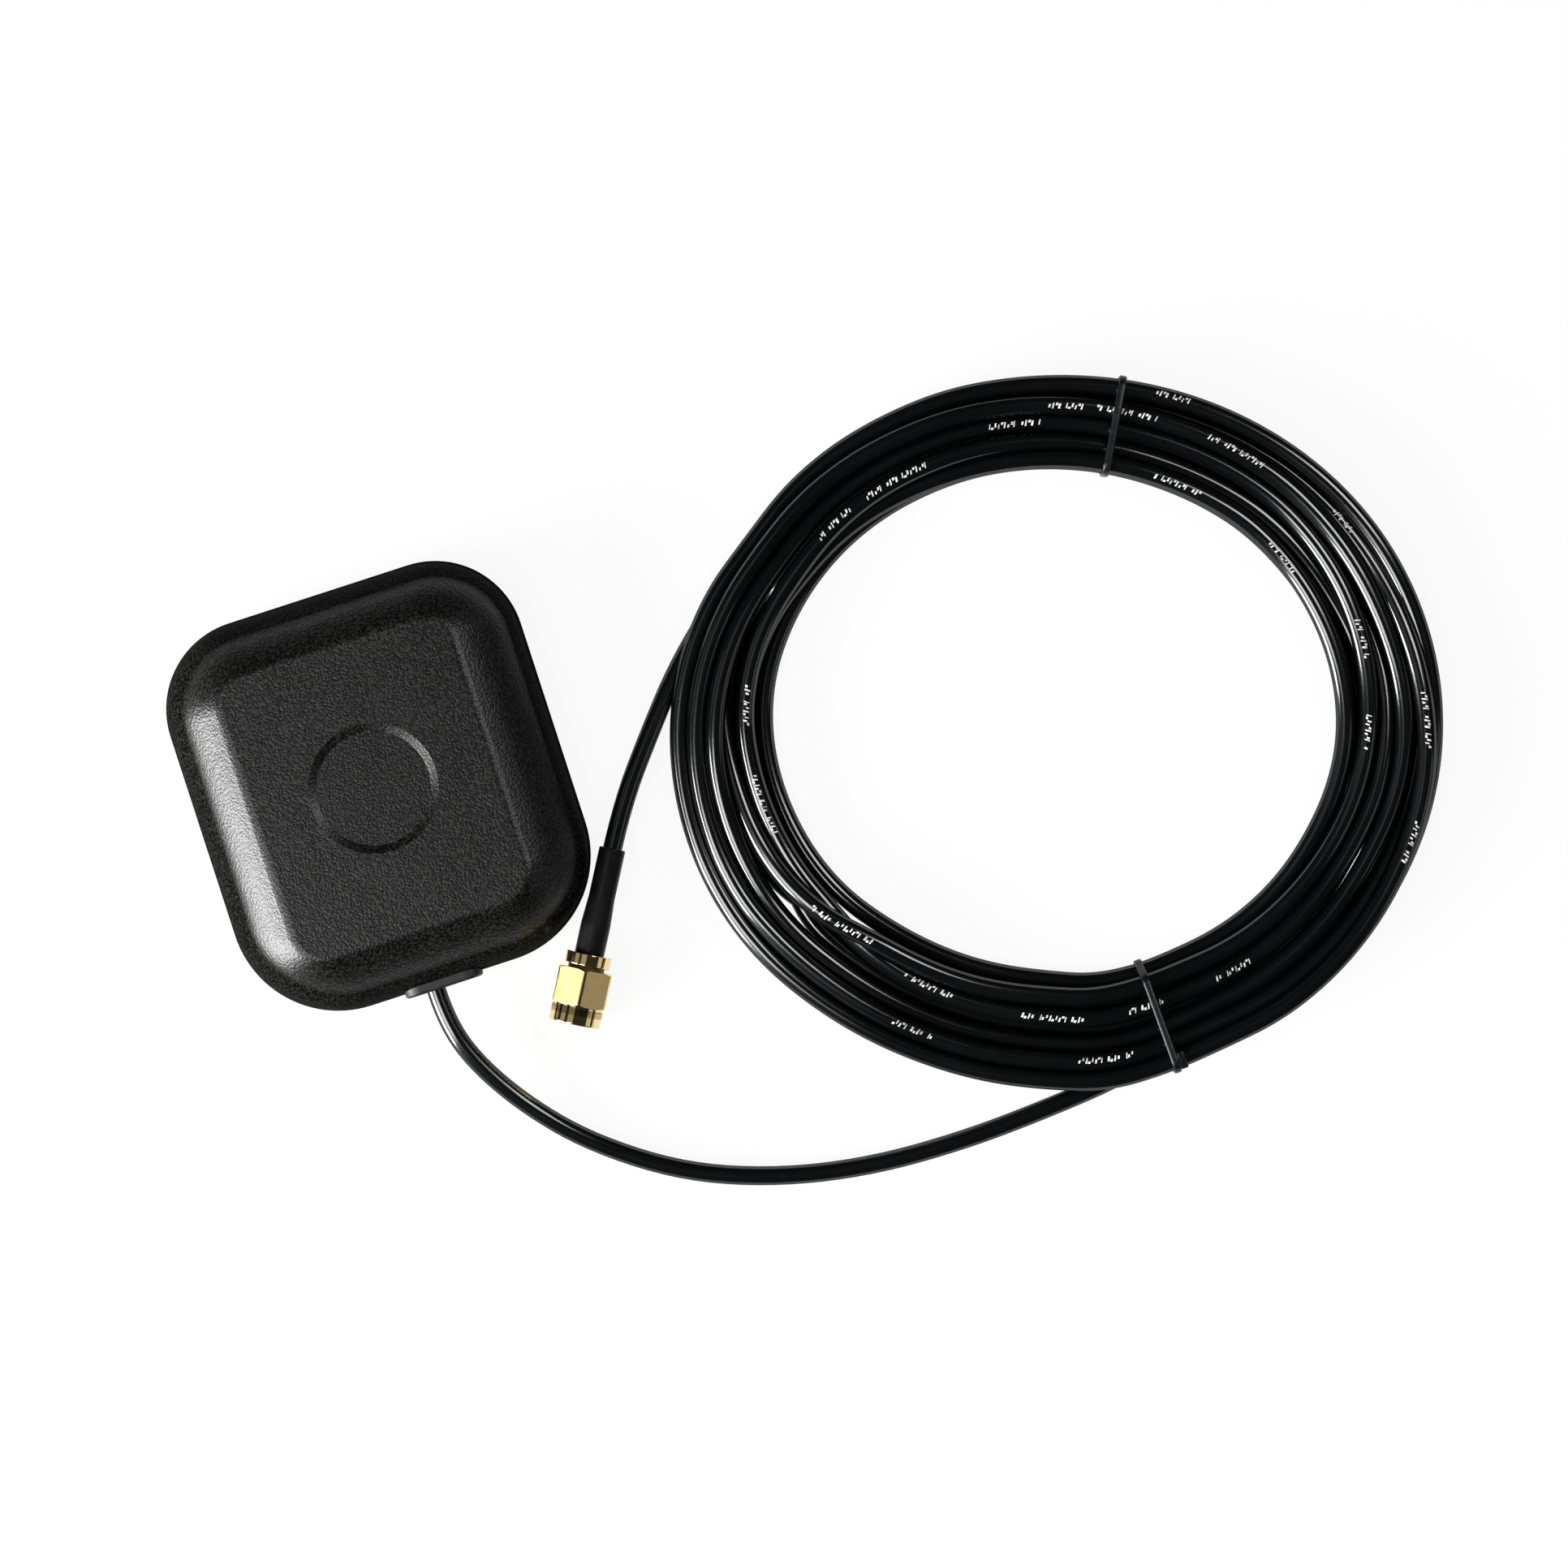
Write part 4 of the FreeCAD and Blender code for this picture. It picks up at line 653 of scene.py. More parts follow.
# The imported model's own pieces that stay, under the finish that they get
FINISHED_NODES = {
    "housing_plastic": ("upper_housing",),
    "base_plastic": ("base_plate",),
    "soft_rubber": ("grommet", "case_seal", "plug_gasket"),
    "cable_jacket": ("lead_jacket", "tail_jacket"),
    "polished_gold": ("centre_pin",),
    "white_insulator": ("pin_insulator", "coax_insulation", "tail_insulation"),
    "bare_copper": ("coax_braid", "coax_core", "tail_core"),
    "zinc_steel": ("case_screws",),
    "tinned_sheet": ("shield_can",),
    "nickel_plate": ("magnets",),
    "plated_crimp": ("crimp_ferrule", "cable_stop", "snap_ring"),
    "solder_mask": ("circuit_board",),
    "fired_ceramic": ("ceramic_patch",),
    "fired_silver": ("patch_electrode", "feed_pin"),
    "foam_tape": ("patch_tape",),
}


# Sizes and colours that a user would change

class StageSettings(bpy.types.PropertyGroup):
    floor_colour: bpy.props.FloatVectorProperty(
        name="Floor colour", description="Colour of the floor and backdrop", subtype="COLOR",
        default=(0.995, 0.995, 0.995), min=0, max=1,
    )
    camera_height: bpy.props.FloatProperty(
        name="Camera height", description="Camera above the floor", default=0.6, unit="LENGTH",
    )
    camera_lens: bpy.props.FloatProperty(
        name="Lens", description="Focal length of the camera", default=92.53, unit="CAMERA",
    )


class CableSettings(bpy.types.PropertyGroup):
    cable_length: bpy.props.FloatProperty(
        name="Cable length", description="Whole length of the cable", default=3.0, unit="LENGTH",
    )
    ring_points: bpy.props.IntProperty(
        name="Roundness", description="Steps in the cable's section", default=8, min=2, max=16,
    )


class PlugSettings(bpy.types.PropertyGroup):
    thread_pitch: bpy.props.FloatProperty(
        name="Thread pitch", description="Distance between the nut's threads", default=25.4 / 36 * MM,
        unit="LENGTH", precision=5,
    )
    segments: bpy.props.IntProperty(
        name="Segments", description="Faces round the plug's pieces", default=192, min=48, max=480,
    )


class SetStage(bpy.types.Operator):
    """Makes the camera, the pale floor and the studio lights"""
    bl_idname = "antenna.set_stage"
    bl_label = "Set Stage"

    def execute(self, context):
        settings = context.scene.antenna_stage
        make_camera(settings)
        make_floor(settings)
        make_world(settings)
        make_lights()
        context.scene.view_settings.view_transform = "Standard"
        return {"FINISHED"}


CAMERA_X = 56.8 * MM
CAMERA_Y = -17.8 * MM
CAMERA_TURN = -18.0


def make_camera(settings):
    """A camera that looks straight down, turned as the photograph is."""
    data = bpy.data.cameras.new("camera")
    data.sensor_width = 36
    data.lens = settings.camera_lens
    data.clip_start = 0.01
    camera = bpy.data.objects.new("camera", data)
    camera.location = (CAMERA_X, CAMERA_Y, settings.camera_height)
    camera.rotation_euler = (0, 0, math.radians(CAMERA_TURN))
    bpy.context.scene.collection.objects.link(camera)
    bpy.context.scene.camera = camera


def seen_directly(board):
    """1 for rays from the camera or off glossy and clear surfaces, 0 for the light that they gather."""
    kinds = ("Camera", "Glossy", "Transmission")
    camera, glossy, through = (board.add("ShaderNodeLightPath", output=f"Is {kind} Ray") for kind in kinds)
    return 1 - (1 - camera) * (1 - glossy) * (1 - through)


# The floor: half its side in metres, how far under the object it lies, the grey that it casts back on it and
# the share of its look that takes shadows
FLOOR_HALF = 4.0
FLOOR_DROP = 0.02 * MM
FLOOR_GREY = (0.40, 0.40, 0.40, 1)
FLOOR_SHADOW_SHARE = 0.08


def make_floor(settings):
    """A wide pale floor that stays near white and keeps a faint shadow."""
    mesh = bpy.data.meshes.new("floor")
    corners = [(x * FLOOR_HALF, y * FLOOR_HALF, 0) for x, y in ((-1, -1), (1, -1), (1, 1), (-1, 1))]
    mesh.from_pydata(corners, [], [(0, 1, 2, 3)])
    floor = bpy.data.objects.new("floor", mesh)
    floor.location.z = -FLOOR_DROP
    bpy.context.scene.collection.objects.link(floor)
    board = Board("floor")
    colour = (*settings.floor_colour, 1)
    lit = board.add("ShaderNodeBsdfDiffuse", {}, {"Color": FLOOR_GREY})
    glow = board.add("ShaderNodeEmission", {}, {"Color": colour, "Strength": 1.0})
    pale = board.add("ShaderNodeBsdfDiffuse", {}, {"Color": colour})
    shown = board.add("ShaderNodeMixShader", {}, {0: FLOOR_SHADOW_SHARE, 1: glow, 2: pale})
    mixed = board.add("ShaderNodeMixShader", {}, {0: seen_directly(board), 1: lit, 2: shown})
    board.add("ShaderNodeOutputMaterial", {}, {"Surface": mixed})
    mesh.materials.append(board.owner)


STUDIO_LIGHT = 0.03


def make_world(settings):
    """A dim studio round the object that looks as pale as the floor behind it."""
    board = Board("studio", "worlds")
    camera = board.add("ShaderNodeLightPath", output="Is Camera Ray")
    dim = board.add("ShaderNodeBackground", {}, {"Color": (1, 1, 1, 1), "Strength": STUDIO_LIGHT})
    pale = board.add("ShaderNodeBackground", {}, {"Color": (*settings.floor_colour, 1), "Strength": 1.0})
    mixed = board.add("ShaderNodeMixShader", {}, {0: camera, 1: dim, 2: pale})
    board.add("ShaderNodeOutputWorld", {}, {"Surface": mixed})
    bpy.context.scene.world = board.owner


# Softboxes: direction they stand in (degrees from +X), elevation, distance, width, height and brightness
SOFTBOXES = {
    "low_key": (188, 16, 0.75, 0.40, 0.34, 36.0),
    "key": (198, 56, 0.9, 0.26, 0.44, 11.0),
    "fill": (14, 54, 0.9, 0.22, 0.34, 9.3),
    "left": (150, 34, 0.9, 0.26, 0.34, 0.3),
    "side": (-32, 24, 0.9, 0.36, 0.36, 0.55),
    "top": (150, 70, 0.92, 0.42, 0.42, 0.30),
}
LIGHT_TARGET = Vector((50 * MM, -15 * MM, 5 * MM))


def make_lights():
    """Soft rectangular lights, each as bright as its share of a white card."""
    for name, (direction, elevation, distance, width, height, brightness) in SOFTBOXES.items():
        data = bpy.data.lights.new(name, "AREA")
        data.shape = "RECTANGLE"
        data.size = width
        data.size_y = height
        data.energy = brightness * math.pi * width * height
        light = bpy.data.objects.new(name, data)
        turn, rise = math.radians(direction), math.radians(elevation)
        flat = math.cos(rise) * distance
        offset = Vector((flat * math.cos(turn), flat * math.sin(turn), math.sin(rise) * distance))
        light.location = LIGHT_TARGET + offset
        light.rotation_euler = offset.to_track_quat("Z", "Y").to_euler()
        light.visible_camera = False
        bpy.context.scene.collection.objects.link(light)


# The cable's own line, for the pieces that follow it
WINDING = {}


class LayCable(bpy.types.Operator):
    """Lays the cable: from the case to the coil, round the coil and on to the plug"""
    bl_idname = "antenna.lay_cable"
    bl_label = "Lay Cable"

    def execute(self, context):
        settings = context.scene.antenna_cable
        cable = spline_curve("cable", LEAD_ROUTE + wind_coil() + TAIL_ROUTE)
        cable.data.materials.append(finish_of("cable_jacket"))
        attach(cable, FIXED_BODY)
        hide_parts("cord_lead", "cord_coil", "cord_tail")
        WINDING["line"] = read_line(cable)
        cable.data.bevel_depth = 1.0
        cable.data.bevel_resolution = settings.ring_points
        cable.data.use_fill_caps = True
        return {"FINISHED"}


# No strand of the coil lies further from its middle than this
COIL_REACH = 60


def strands_at(degrees):
    """Where the cable's strands pass an angle round the coil, as (distance from the middle, height)."""
    line = WINDING["line"]
    x = line[:, 0] - COIL_MIDDLE[0] * MM
    y = line[:, 1] - COIL_MIDDLE[1] * MM
    turned = np.degrees(np.unwrap(np.arctan2(y, x)))
    found = []
    for number in range(len(turned) - 1):
        before = (turned[number] - degrees) / 360
        after = (turned[number + 1] - degrees) / 360
        if math.floor(before) == math.floor(after):
            continue
        share = (math.floor(max(before, after)) - before) / (after - before)
        point = line[number] + share * (line[number + 1] - line[number])
        reach = math.hypot(point[0] - COIL_MIDDLE[0] * MM, point[1] - COIL_MIDDLE[1] * MM)
        if reach < COIL_REACH * MM:
            found.append(Vector((reach, point[2])))
    return found


def coil_directions(degrees):
    """The coil's middle and the directions outwards and along the strands at an angle."""
    outwards = Vector((math.cos(math.radians(degrees)), math.sin(math.radians(degrees)), 0))
    along = Vector((-outwards.y, outwards.x, 0))
    return Vector((COIL_MIDDLE[0] * MM, COIL_MIDDLE[1] * MM, 0)), outwards, along


def tie_mesh(name, degrees):
    """A thin flat band pulled tight round the strands."""
    strands = strands_at(degrees)
    middle, outwards, along = coil_directions(degrees)
    section = softened([
        (0, -TIE_WIDTH / 2), (1, -TIE_WIDTH / 2), (1, TIE_WIDTH / 2), (0, TIE_WIDTH / 2),
    ], TIE_ROUNDING, 4)
    rings = []
    for step in range(TIE_STEPS):
        angle = 2 * math.pi * step / TIE_STEPS
        normal = Vector((math.cos(angle), math.sin(angle)))
        strand = max(strands, key=lambda place: place.dot(normal))
        touch = strand + normal * (CABLE_RADIUS * MM)
        thickness = TIE_SIDE_THICKNESS + (TIE_THICKNESS - TIE_SIDE_THICKNESS) * max(normal.y, 0)
        ring = []
        for out, side in section:
            place = touch + normal * (out * thickness * MM)
            ring.append(middle + outwards * place.x + along * (side * MM) + Vector((0, 0, place.y)))
        rings.append(ring)
    return ring_mesh(name, rings)


# The near band's loose end lies beside it on the outermost strand: its length, thickness and rounding, how far
# along the strand its middle is, and how far round the strand it sits, from outwards to straight up
LOOSE_END_LENGTH = 2.6
LOOSE_END_THICKNESS = 0.5
LOOSE_END_ROUNDING = 0.18
LOOSE_END_OFFSET = 0.92 * TIE_WIDTH
LOOSE_END_LEAN = 84.0


def add_loose_end(mesh, degrees):
    """Adds the short folded end beside a band, flat against the outermost strand."""
    outermost = max(strands_at(degrees), key=lambda place: place.x)
    middle, outwards, along = coil_directions(degrees)
    lean = math.radians(LOOSE_END_LEAN)
    away = outwards * math.cos(lean) + Vector((0, 0, math.sin(lean)))
    down = along.cross(away)
    reach = CABLE_RADIUS + LOOSE_END_THICKNESS / 2
    centre = middle + outwards * outermost.x + Vector((0, 0, outermost.y))
    centre += away * (reach * MM) + along * (LOOSE_END_OFFSET * MM)
    turn = Matrix((down, along, away)).transposed().to_4x4()
    size = Matrix.Diagonal((LOOSE_END_LENGTH * MM, TIE_WIDTH * MM, LOOSE_END_THICKNESS * MM, 1))
    build = bmesh.new()
    build.from_mesh(mesh)
    made = bmesh.ops.create_cube(build, size=1.0, matrix=Matrix.Translation(centre) @ turn @ size)
    edges = list({edge for vertex in made["verts"] for edge in vertex.link_edges})
    bmesh.ops.bevel(
        build, geom=edges, offset=LOOSE_END_ROUNDING * MM, segments=3, profile=0.5, affect="EDGES",
    )
    build.to_mesh(mesh)
    build.free()


# Printed marks on the cable: angle round the coil, share of the bundle's width from the hole outwards,
# length in millimetres and roll from straight up in degrees
PRINT_PLACES = [
    (67, 0.70, 6.0, -11.0), (76, 0.49, 8.0, -4.0), (98, 0.41, 10.0, 3.0), (115, 0.38, 6.0, 10.0),
    (153, 0.30, 6.0, -6.0), (171, 0.28, 9.0, 1.0), (197, 0.34, 10.0, 8.0), (220, 0.36, 8.0, -8.0),
    (222, 0.77, 6.0, -1.0), (244, 0.47, 9.0, 6.0), (256, 0.80, 8.0, -10.0), (266, 0.49, 5.0, -3.0),
    (284, 0.45, 6.0, 4.0), (50, 0.90, 5.0, 11.0), (54, 0.61, 9.0, -5.0), (35, 0.75, 9.0, 2.0),
    (16, 0.75, 5.0, 9.0), (40, 0.09, 7.0, -7.0), (16, 0.09, 6.0, 0.0), (355, 0.38, 6.0, 7.0),
    (339, 0.32, 5.0, -9.0), (340, 0.80, 8.0, -2.0), (322, 0.73, 6.0, 5.0),
]
PRINT_HEIGHT = 0.85
PRINT_THICKNESS = 0.02

# Strokes of the print: width, gap after it, and where it starts and ends across the print's height
PRINT_STROKES = (
    (0.20, 0.16, 0.0, 1.0), (0.34, 0.20, 0.60, 1.0), (0.18, 0.30, 0.0, 0.7), (0.26, 0.10, 0.3, 1.0),
    (0.40, 0.14, 0.0, 0.35), (0.16, 0.80, 0.1, 1.0), (0.30, 0.12, 0.0, 0.85), (0.36, 0.22, 0.55, 1.0),
    (0.22, 0.26, 0.0, 1.0), (0.30, 1.00, 0.2, 0.75), (0.16, 0.12, 0.0, 1.0), (0.28, 0.24, 0.4, 0.9),
    (0.24, 0.34, 0.0, 0.5),
)
PRINT_SLANT = 0.25
PRINT_STEPS = 3
PRINT_ROWS = 5
STROKES_PER_PLACE = 5

# A printed strand lies this near to its place, in millimetres and degrees. Being off costs this much height.
STRAND_WITHIN = 3.2
ANGLE_WITHIN = 1.2
HEIGHT_PER_OFFSET = 0.8


def top_strand(degrees, share):
    """Index on the cable's line of the highest strand near a place of the bundle."""
    line = WINDING["line"]
    x = line[:, 0] / MM - COIL_MIDDLE[0]
    y = line[:, 1] / MM - COIL_MIDDLE[1]
    inner = oval_reach([degrees], COIL_INSIDE)[0]
    outer = oval_reach([degrees], COIL_OUTSIDE)[0]
    aim = inner + (outer - inner) * share
    turn = (np.degrees(np.arctan2(y, x)) - degrees + 180) % 360 - 180
    off = np.abs(np.hypot(x, y) - aim)
    chosen = np.where((off < STRAND_WITHIN) & (np.abs(turn) < ANGLE_WITHIN))[0]
    if not len(chosen):
        raise RuntimeError(f"No strand at {degrees} degrees, share {share}")
    return max(chosen, key=lambda number: line[number, 2] / MM - HEIGHT_PER_OFFSET * off[number])


def print_rings(degrees, share, length, roll, count):
    """Short strokes of ink, each a curved patch on the cable's skin. Gives patches of rings of points."""
    line = WINDING["line"]
    number = top_strand(degrees, share)
    place = Vector(line[number])
    patches = []
    travelled = 0.0
    while travelled < length:
        stroke, gap, low, high = PRINT_STROKES[count % len(PRINT_STROKES)]
        rings = []
        for step in range(PRINT_STEPS + 1):
            target = (travelled + stroke * step / PRINT_STEPS) * MM
            while (Vector(line[number + 1]) - place).length < target:
                number += 1
            ahead = (Vector(line[number + 1]) - Vector(line[number])).normalized()
            spot = Vector(line[number]) + ahead * (target - (Vector(line[number]) - place).length)
            side = ahead.cross(Vector((0, 0, 1))).normalized()
            up = side.cross(ahead)
            ring = []
            for row in range(PRINT_ROWS + 1):
                across = (low + (high - low) * row / PRINT_ROWS - 0.5) * PRINT_HEIGHT
                angle = math.radians(roll) + across / CABLE_RADIUS
                skin = side * math.sin(angle) + up * math.cos(angle)
                slanted = spot - ahead * (across * PRINT_SLANT * MM)
                ring.append(slanted + skin * ((CABLE_RADIUS + PRINT_THICKNESS) * MM))
            rings.append(ring)
        patches.append(rings)
        travelled += stroke + gap
        count += 1
    return patches


class PrintMarks(bpy.types.Operator):
    """Prints plain strokes along the cable"""
    bl_idname = "antenna.print_marks"
    bl_label = "Print Marks"

    def execute(self, context):
        vertices = []
        faces = []
        for number, place in enumerate(PRINT_PLACES):
            for rings in print_rings(*place, STROKES_PER_PLACE * number):
                first = len(vertices)
                across = len(rings[0])
                vertices.extend(tuple(point) for ring in rings for point in ring)
                for ring in range(len(rings) - 1):
                    for row in range(across - 1):
                        corner = first + ring * across + row
                        faces.append((corner, corner + 1, corner + across + 1, corner + across))
        mesh = bpy.data.meshes.new("print_marks")
        mesh.from_pydata(vertices, [], faces)
        new_piece("print_marks", mesh, FIXED_BODY, [finish_of("print_ink")])
        return {"FINISHED"}


# The two bands: angle round the coil, whether a loose end shows and the node that they replace
BANDS = (
    ("band_near", LOWER_TIE_ANGLE, True, "tie_lower"),
    ("band_far", UPPER_TIE_ANGLE, False, "tie_upper"),
)


class WrapTies(bpy.types.Operator):
    """Wraps the two bands round the coil"""
    bl_idname = "antenna.wrap_ties"
    bl_label = "Wrap Ties"

    def execute(self, context):
        for name, degrees, has_loose_end, node in BANDS:
            mesh = tie_mesh(name, degrees)
            if has_loose_end:
                add_loose_end(mesh, degrees)
            band = new_piece(name, mesh, FIXED_BODY, [finish_of("tie_plastic")])
            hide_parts(node)
        return {"FINISHED"}


# The nut's sizes, as the part has them: depths are behind its front face
HEX_FLATS = 7.94
HEX_LENGTH = 5.45
HEX_CORNER_RADIUS = 4.47
HEX_CHAMFER_RADIUS = 4.08
HEX_CHAMFER_SLOPE = 30.0
NUT_TURN = 3.0
SKIRT_RADIUS = 3.82
SKIRT_LENGTH = 2.8
SKIRT_ROUNDING = 0.22
THREAD_CREST_RADIUS = 2.95
THREAD_ROOT_RADIUS = 3.17
THREAD_DEPTH = 5.0
THREAD_MOUTH = 0.35
THREAD_STEPS_PER_TURN = 10
THREAD_STEEPNESS = 1.25
THREAD_CREST_WIDTH = 0.12
THREAD_LEAST_FADE = 0.3
THREAD_END_GAP = 0.02
NUT_BORE_RADIUS = 2.75
RING_DEPTH = 6.5
RING_THICKNESS = 0.6
RING_GROOVE_RADIUS = 3.25
GROOVE_PLAY = 0.15

# Distances from the hexagon's ends where its rings lie close, because the chamfer curves there
CHAMFER_RINGS = (0.02, 0.05, 0.08, 0.11, 0.14, 0.17, 0.20, 0.23, 0.26, 0.30, 0.4)
FLAT_RINGS = 8
HEX_END_STEP = 0.06
SKIRT_END_STEP = 0.05
BORE_BEVEL = 0.08


def hexagon_radius(angle, end_distance):
    """The hexagon's radius at an angle from straight up, at a distance from its nearer end."""
    from_flat = ((math.degrees(angle) - NUT_TURN) % 60) - 30
    flat = HEX_FLATS / 2 / math.cos(math.radians(from_flat))
    cone = HEX_CHAMFER_RADIUS + end_distance / math.tan(math.radians(HEX_CHAMFER_SLOPE))
    return min(flat, cone, HEX_CORNER_RADIUS)


def nut_mesh(settings):
    """The coupling nut: hexagon, skirt, stepped bore and thread."""
    segments = settings.segments
    pitch = settings.thread_pitch / MM
    rear = SKIRT_LENGTH + HEX_LENGTH
    rings = []

    def round_ring(radius, depth):
        rings.append(turned_ring(radius, depth, segments))

    def hex_ring(depth, shrink=0.0):
        end_distance = min(depth - SKIRT_LENGTH, rear - depth)
        rings.append(shaped_ring(lambda angle: hexagon_radius(angle, end_distance) - shrink, depth, segments))

    def thread_ring(depth, fade):
        def radius_at(angle):
            phase = (depth / pitch + angle / (2 * math.pi)) % 1
            ridge = min(1, max(0, THREAD_STEEPNESS * (1 - abs(2 * phase - 1)) - THREAD_CREST_WIDTH))
            return THREAD_CREST_RADIUS + (THREAD_ROOT_RADIUS - THREAD_CREST_RADIUS) * ridge * fade

        rings.append(shaped_ring(radius_at, depth, segments))

    skirt_corners = [
        (THREAD_CREST_RADIUS + THREAD_MOUTH, 0.0), (SKIRT_RADIUS, 0.0), (SKIRT_RADIUS, SKIRT_LENGTH),
    ]
    for radius, depth in softened(skirt_corners, SKIRT_ROUNDING, 6)[8:19]:
        round_ring(radius, depth)
    round_ring(SKIRT_RADIUS, SKIRT_LENGTH / 2)
    round_ring(SKIRT_RADIUS, SKIRT_LENGTH - SKIRT_END_STEP)
    hex_ring(SKIRT_LENGTH, HEX_END_STEP)
    for distance in CHAMFER_RINGS:
        hex_ring(SKIRT_LENGTH + distance)
    for share in range(1, FLAT_RINGS):
        hex_ring(SKIRT_LENGTH + HEX_LENGTH * share / FLAT_RINGS)
    for distance in reversed(CHAMFER_RINGS):
        hex_ring(rear - distance)
    hex_ring(rear, HEX_END_STEP)
    groove_rear = RING_DEPTH + RING_THICKNESS + GROOVE_PLAY
    groove_front = RING_DEPTH - GROOVE_PLAY
    bore = (
        (NUT_BORE_RADIUS + BORE_BEVEL, rear), (NUT_BORE_RADIUS, rear - BORE_BEVEL),
        (NUT_BORE_RADIUS, groove_rear), (RING_GROOVE_RADIUS, groove_rear),
        (RING_GROOVE_RADIUS, groove_front), (NUT_BORE_RADIUS, groove_front),
        (NUT_BORE_RADIUS, THREAD_DEPTH), (THREAD_CREST_RADIUS, THREAD_DEPTH),
    )
    for radius, depth in bore:
        round_ring(radius, depth)

    steps = int((THREAD_DEPTH - THREAD_MOUTH) / pitch * THREAD_STEPS_PER_TURN)
    deepest = THREAD_DEPTH - THREAD_END_GAP
    for step in range(steps + 1):
        depth = deepest - (deepest - THREAD_MOUTH) * step / steps
        fade = min(1, (THREAD_DEPTH - depth) / pitch, (depth - THREAD_MOUTH) / pitch + THREAD_LEAST_FADE)
        thread_ring(depth, fade)
    round_ring(THREAD_CREST_RADIUS + THREAD_MOUTH, THREAD_END_GAP)
    return ring_mesh("nut", rings)


# Outlines of the turned pieces: (radius, depth) in millimetres
COLLAR_FRONT = 8.8
PLUG_BODY_OUTLINE = [
    (2.02, 2.6), (2.275, 2.6), (2.275, 4.0), (2.7, 4.0), (2.7, 6.4), (2.3, 6.4), (2.3, 7.2), (2.7, 7.2),
    (2.7, COLLAR_FRONT), (3.4, COLLAR_FRONT), (3.4, 10.55), (1.25, 10.55), (1.25, 15.95), (0.9, 15.95),
    (0.9, 5.6), (2.02, 5.6),
]
SLEEVE_OUTLINE = [
    (1.9, 10.55), (2.2, 10.55), (2.2, 14.95), (1.95, 18.95), (1.95, 26.45), (1.475, 26.45), (1.475, 16.45),
    (1.9, 16.05),
]
BODY_ROUNDING = 0.12
SLEEVE_ROUNDING = 0.22

# Where the painted shade and the satin finish end: the depth of the collar's front edge,
# the least radius of a flat, its half angle and how far its faces may lean
COLLAR_EDGE = 0.08
FLAT_LEAST_RADIUS = 3.5
FLAT_HALF_ANGLE = 27.0
FLAT_LEAN = 0.2


def turned_mesh(name, outline, segments):
    """A mesh turned round the plug's axis from a closed outline."""
    return ring_mesh(name, [turned_ring(radius, depth, segments) for radius, depth in outline])


def paint_neck_shade(mesh):
    """Gives the body's neck between nut and collar, and the collar's front, a dark gold as painted shade."""
    for face in mesh.polygons:
        depth = -(face.center - PLUG_FRONT).dot(PLUG_OUTWARD)
        if RING_DEPTH * MM < depth < (COLLAR_FRONT + COLLAR_EDGE) * MM:
            face.material_index = 1


def paint_flats(mesh):
    """Gives the nut's six flats the satin finish."""
    for face in mesh.polygons:
        middle = face.center - PLUG_FRONT
        depth = -middle.dot(PLUG_OUTWARD)
        outward = middle + PLUG_OUTWARD * depth
        on_hexagon = SKIRT_LENGTH * MM < depth < (SKIRT_LENGTH + HEX_LENGTH) * MM
        angle = math.degrees(math.atan2(outward.dot(PLUG_SIDE), outward.dot(PLUG_UP))) - NUT_TURN
        near_middle = abs((angle % 60) - 30) < FLAT_HALF_ANGLE
        on_side = abs(face.normal.dot(PLUG_OUTWARD)) < FLAT_LEAN
        if on_hexagon and on_side and near_middle and outward.length > FLAT_LEAST_RADIUS * MM:
            face.material_index = 1


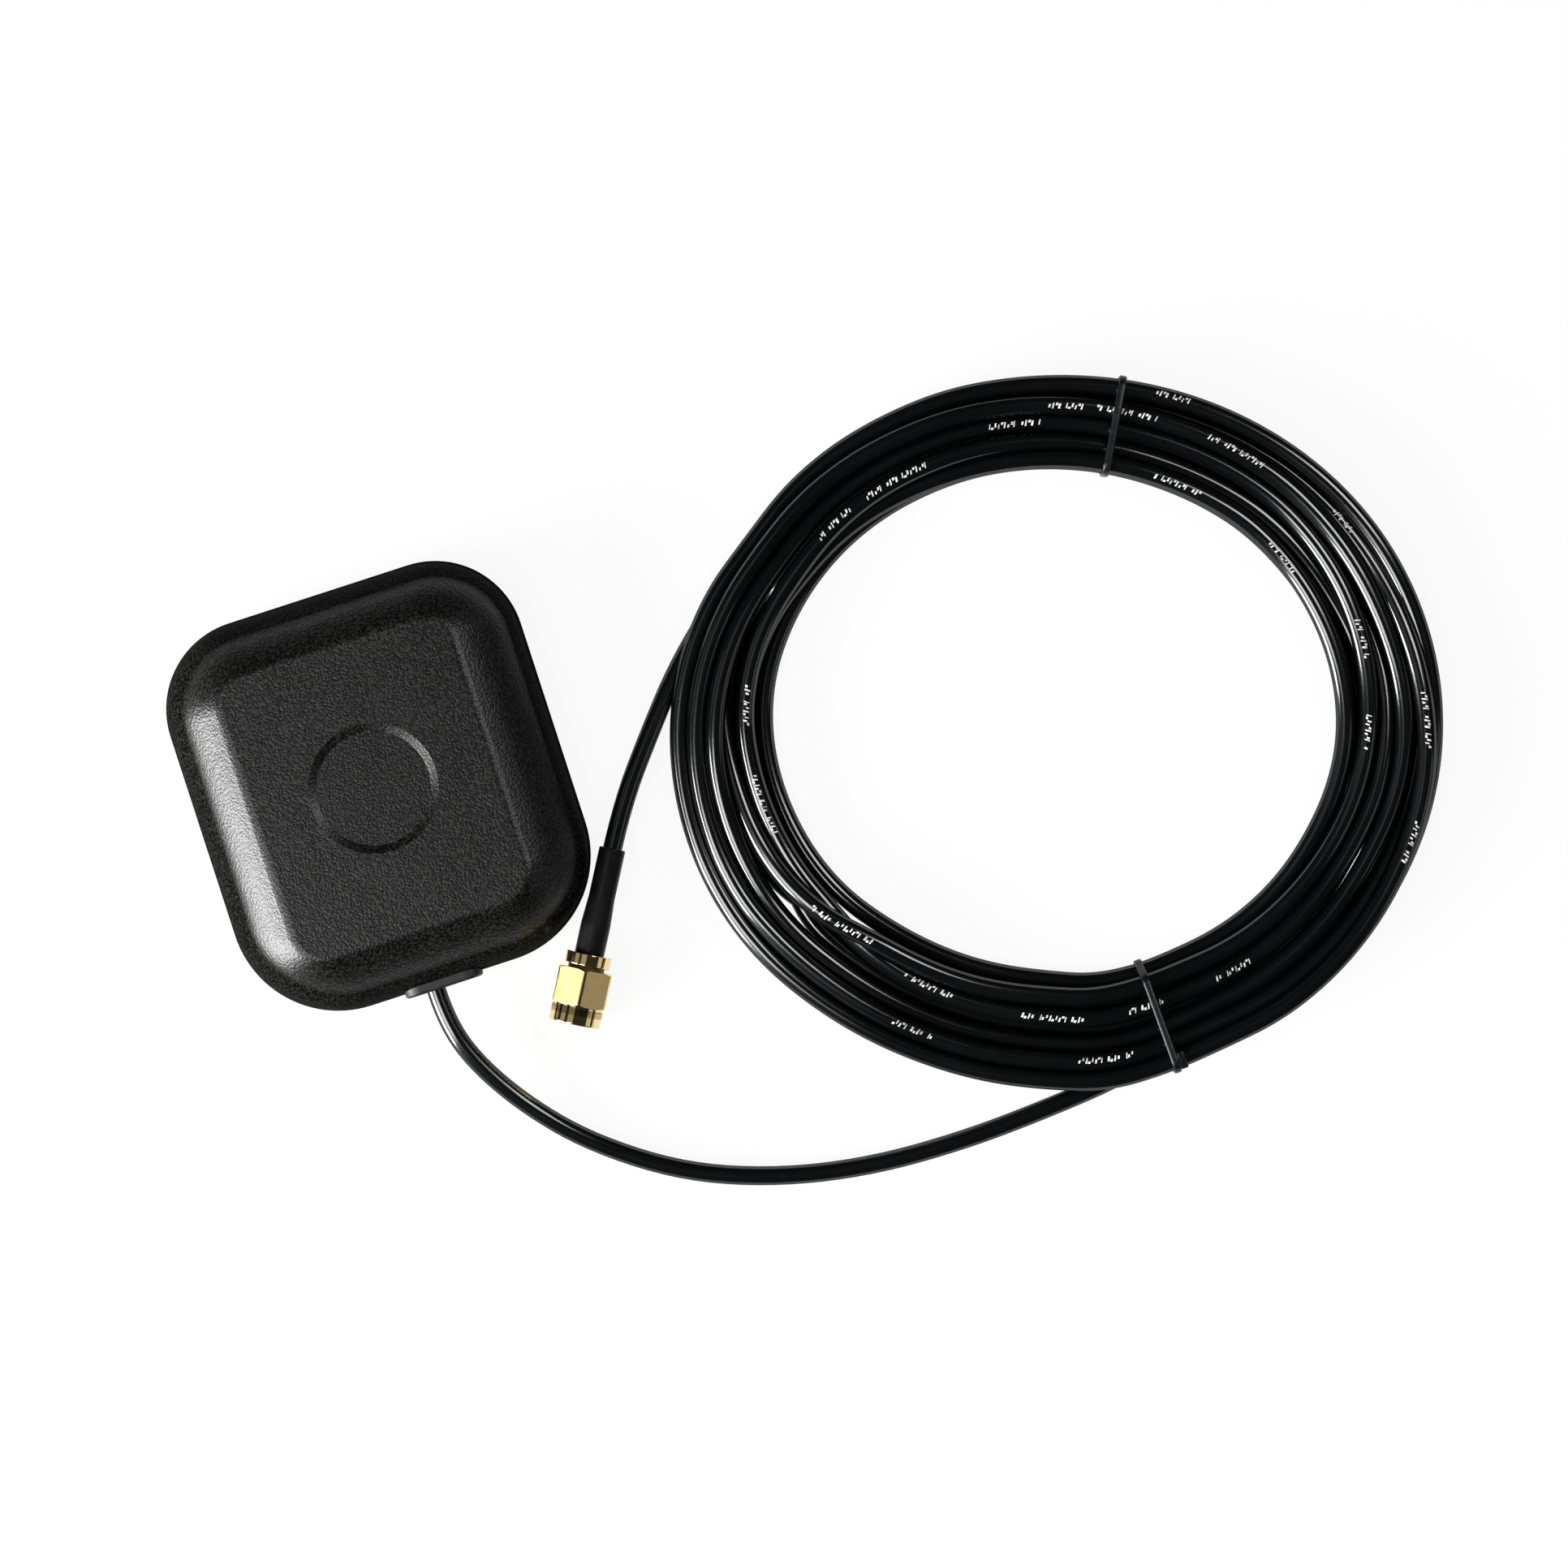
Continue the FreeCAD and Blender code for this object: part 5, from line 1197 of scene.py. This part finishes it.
class FitPlug(bpy.types.Operator):
    """Makes the plug's body, its nut with the thread and the sleeve behind it"""
    bl_idname = "antenna.fit_plug"
    bl_label = "Fit Plug"

    def execute(self, context):
        settings = context.scene.antenna_plug
        polished = finish_of("polished_gold")
        mesh = nut_mesh(settings)
        nut = new_piece("nut", mesh, NUT_BODY, [polished, finish_of("satin_gold")])
        paint_flats(mesh)
        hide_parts("coupling_nut")
        body_mesh = turned_mesh("body", softened(PLUG_BODY_OUTLINE, BODY_ROUNDING, 4), settings.segments)
        # The neck and the collar's front take the dark gold as painted shade
        body = new_piece("body", body_mesh, FIXED_BODY, [polished, finish_of("painted_shade_gold")])
        paint_neck_shade(body_mesh)
        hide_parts("plug_body")
        sleeve_mesh = turned_mesh("sleeve", softened(SLEEVE_OUTLINE, SLEEVE_ROUNDING, 5), settings.segments)
        sleeve = new_piece("sleeve", sleeve_mesh, FIXED_BODY, [finish_of("sleeve_plastic")])
        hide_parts("shrink_sleeve")
        return {"FINISHED"}


class DressNodes(bpy.types.Operator):
    """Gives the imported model's own pieces their finishes"""
    bl_idname = "antenna.dress_nodes"
    bl_label = "Dress Nodes"

    def execute(self, context):
        for finish, nodes in FINISHED_NODES.items():
            for node in nodes:
                slots = frame["nodes"][node].data.materials
                slots.clear()
                slots.append(finish_of(finish))
        return {"FINISHED"}


class DeclareCord(bpy.types.Operator):
    """Does nothing: it states neither the cable's length nor what lies on it"""
    bl_idname = "antenna.declare_cord"
    bl_label = "Declare Cord"

    def execute(self, context):
        return {"FINISHED"}


class AntennaPanel(bpy.types.Panel):
    """Buttons for each group of pieces"""
    bl_idname = "VIEW3D_PT_antenna"
    bl_label = "Antenna"
    bl_space_type = "VIEW_3D"
    bl_region_type = "UI"
    bl_category = "Antenna"

    def draw(self, context):
        for operator in OPERATORS:
            self.layout.operator(operator.bl_idname)


OPERATORS = [SetStage, LayCable, PrintMarks, WrapTies, FitPlug, DressNodes, DeclareCord]
GROUPS = {"antenna_stage": StageSettings, "antenna_cable": CableSettings, "antenna_plug": PlugSettings}
CLASSES = [*GROUPS.values(), *OPERATORS, AntennaPanel]


def register():
    for part in CLASSES:
        bpy.utils.register_class(part)
    for name, group in GROUPS.items():
        setattr(bpy.types.Scene, name, bpy.props.PointerProperty(type=group))


def unregister():
    for name in GROUPS:
        delattr(bpy.types.Scene, name)
    for part in reversed(CLASSES):
        bpy.utils.unregister_class(part)


def main():
    register()
    bpy.ops.antenna.set_stage()
    bpy.ops.antenna.lay_cable()
    bpy.ops.antenna.print_marks()
    bpy.ops.antenna.wrap_ties()
    bpy.ops.antenna.fit_plug()
    bpy.ops.antenna.dress_nodes()
    bpy.ops.antenna.declare_cord()
    bpy.context.view_layer.update()


if __name__ == "__main__":
    main()
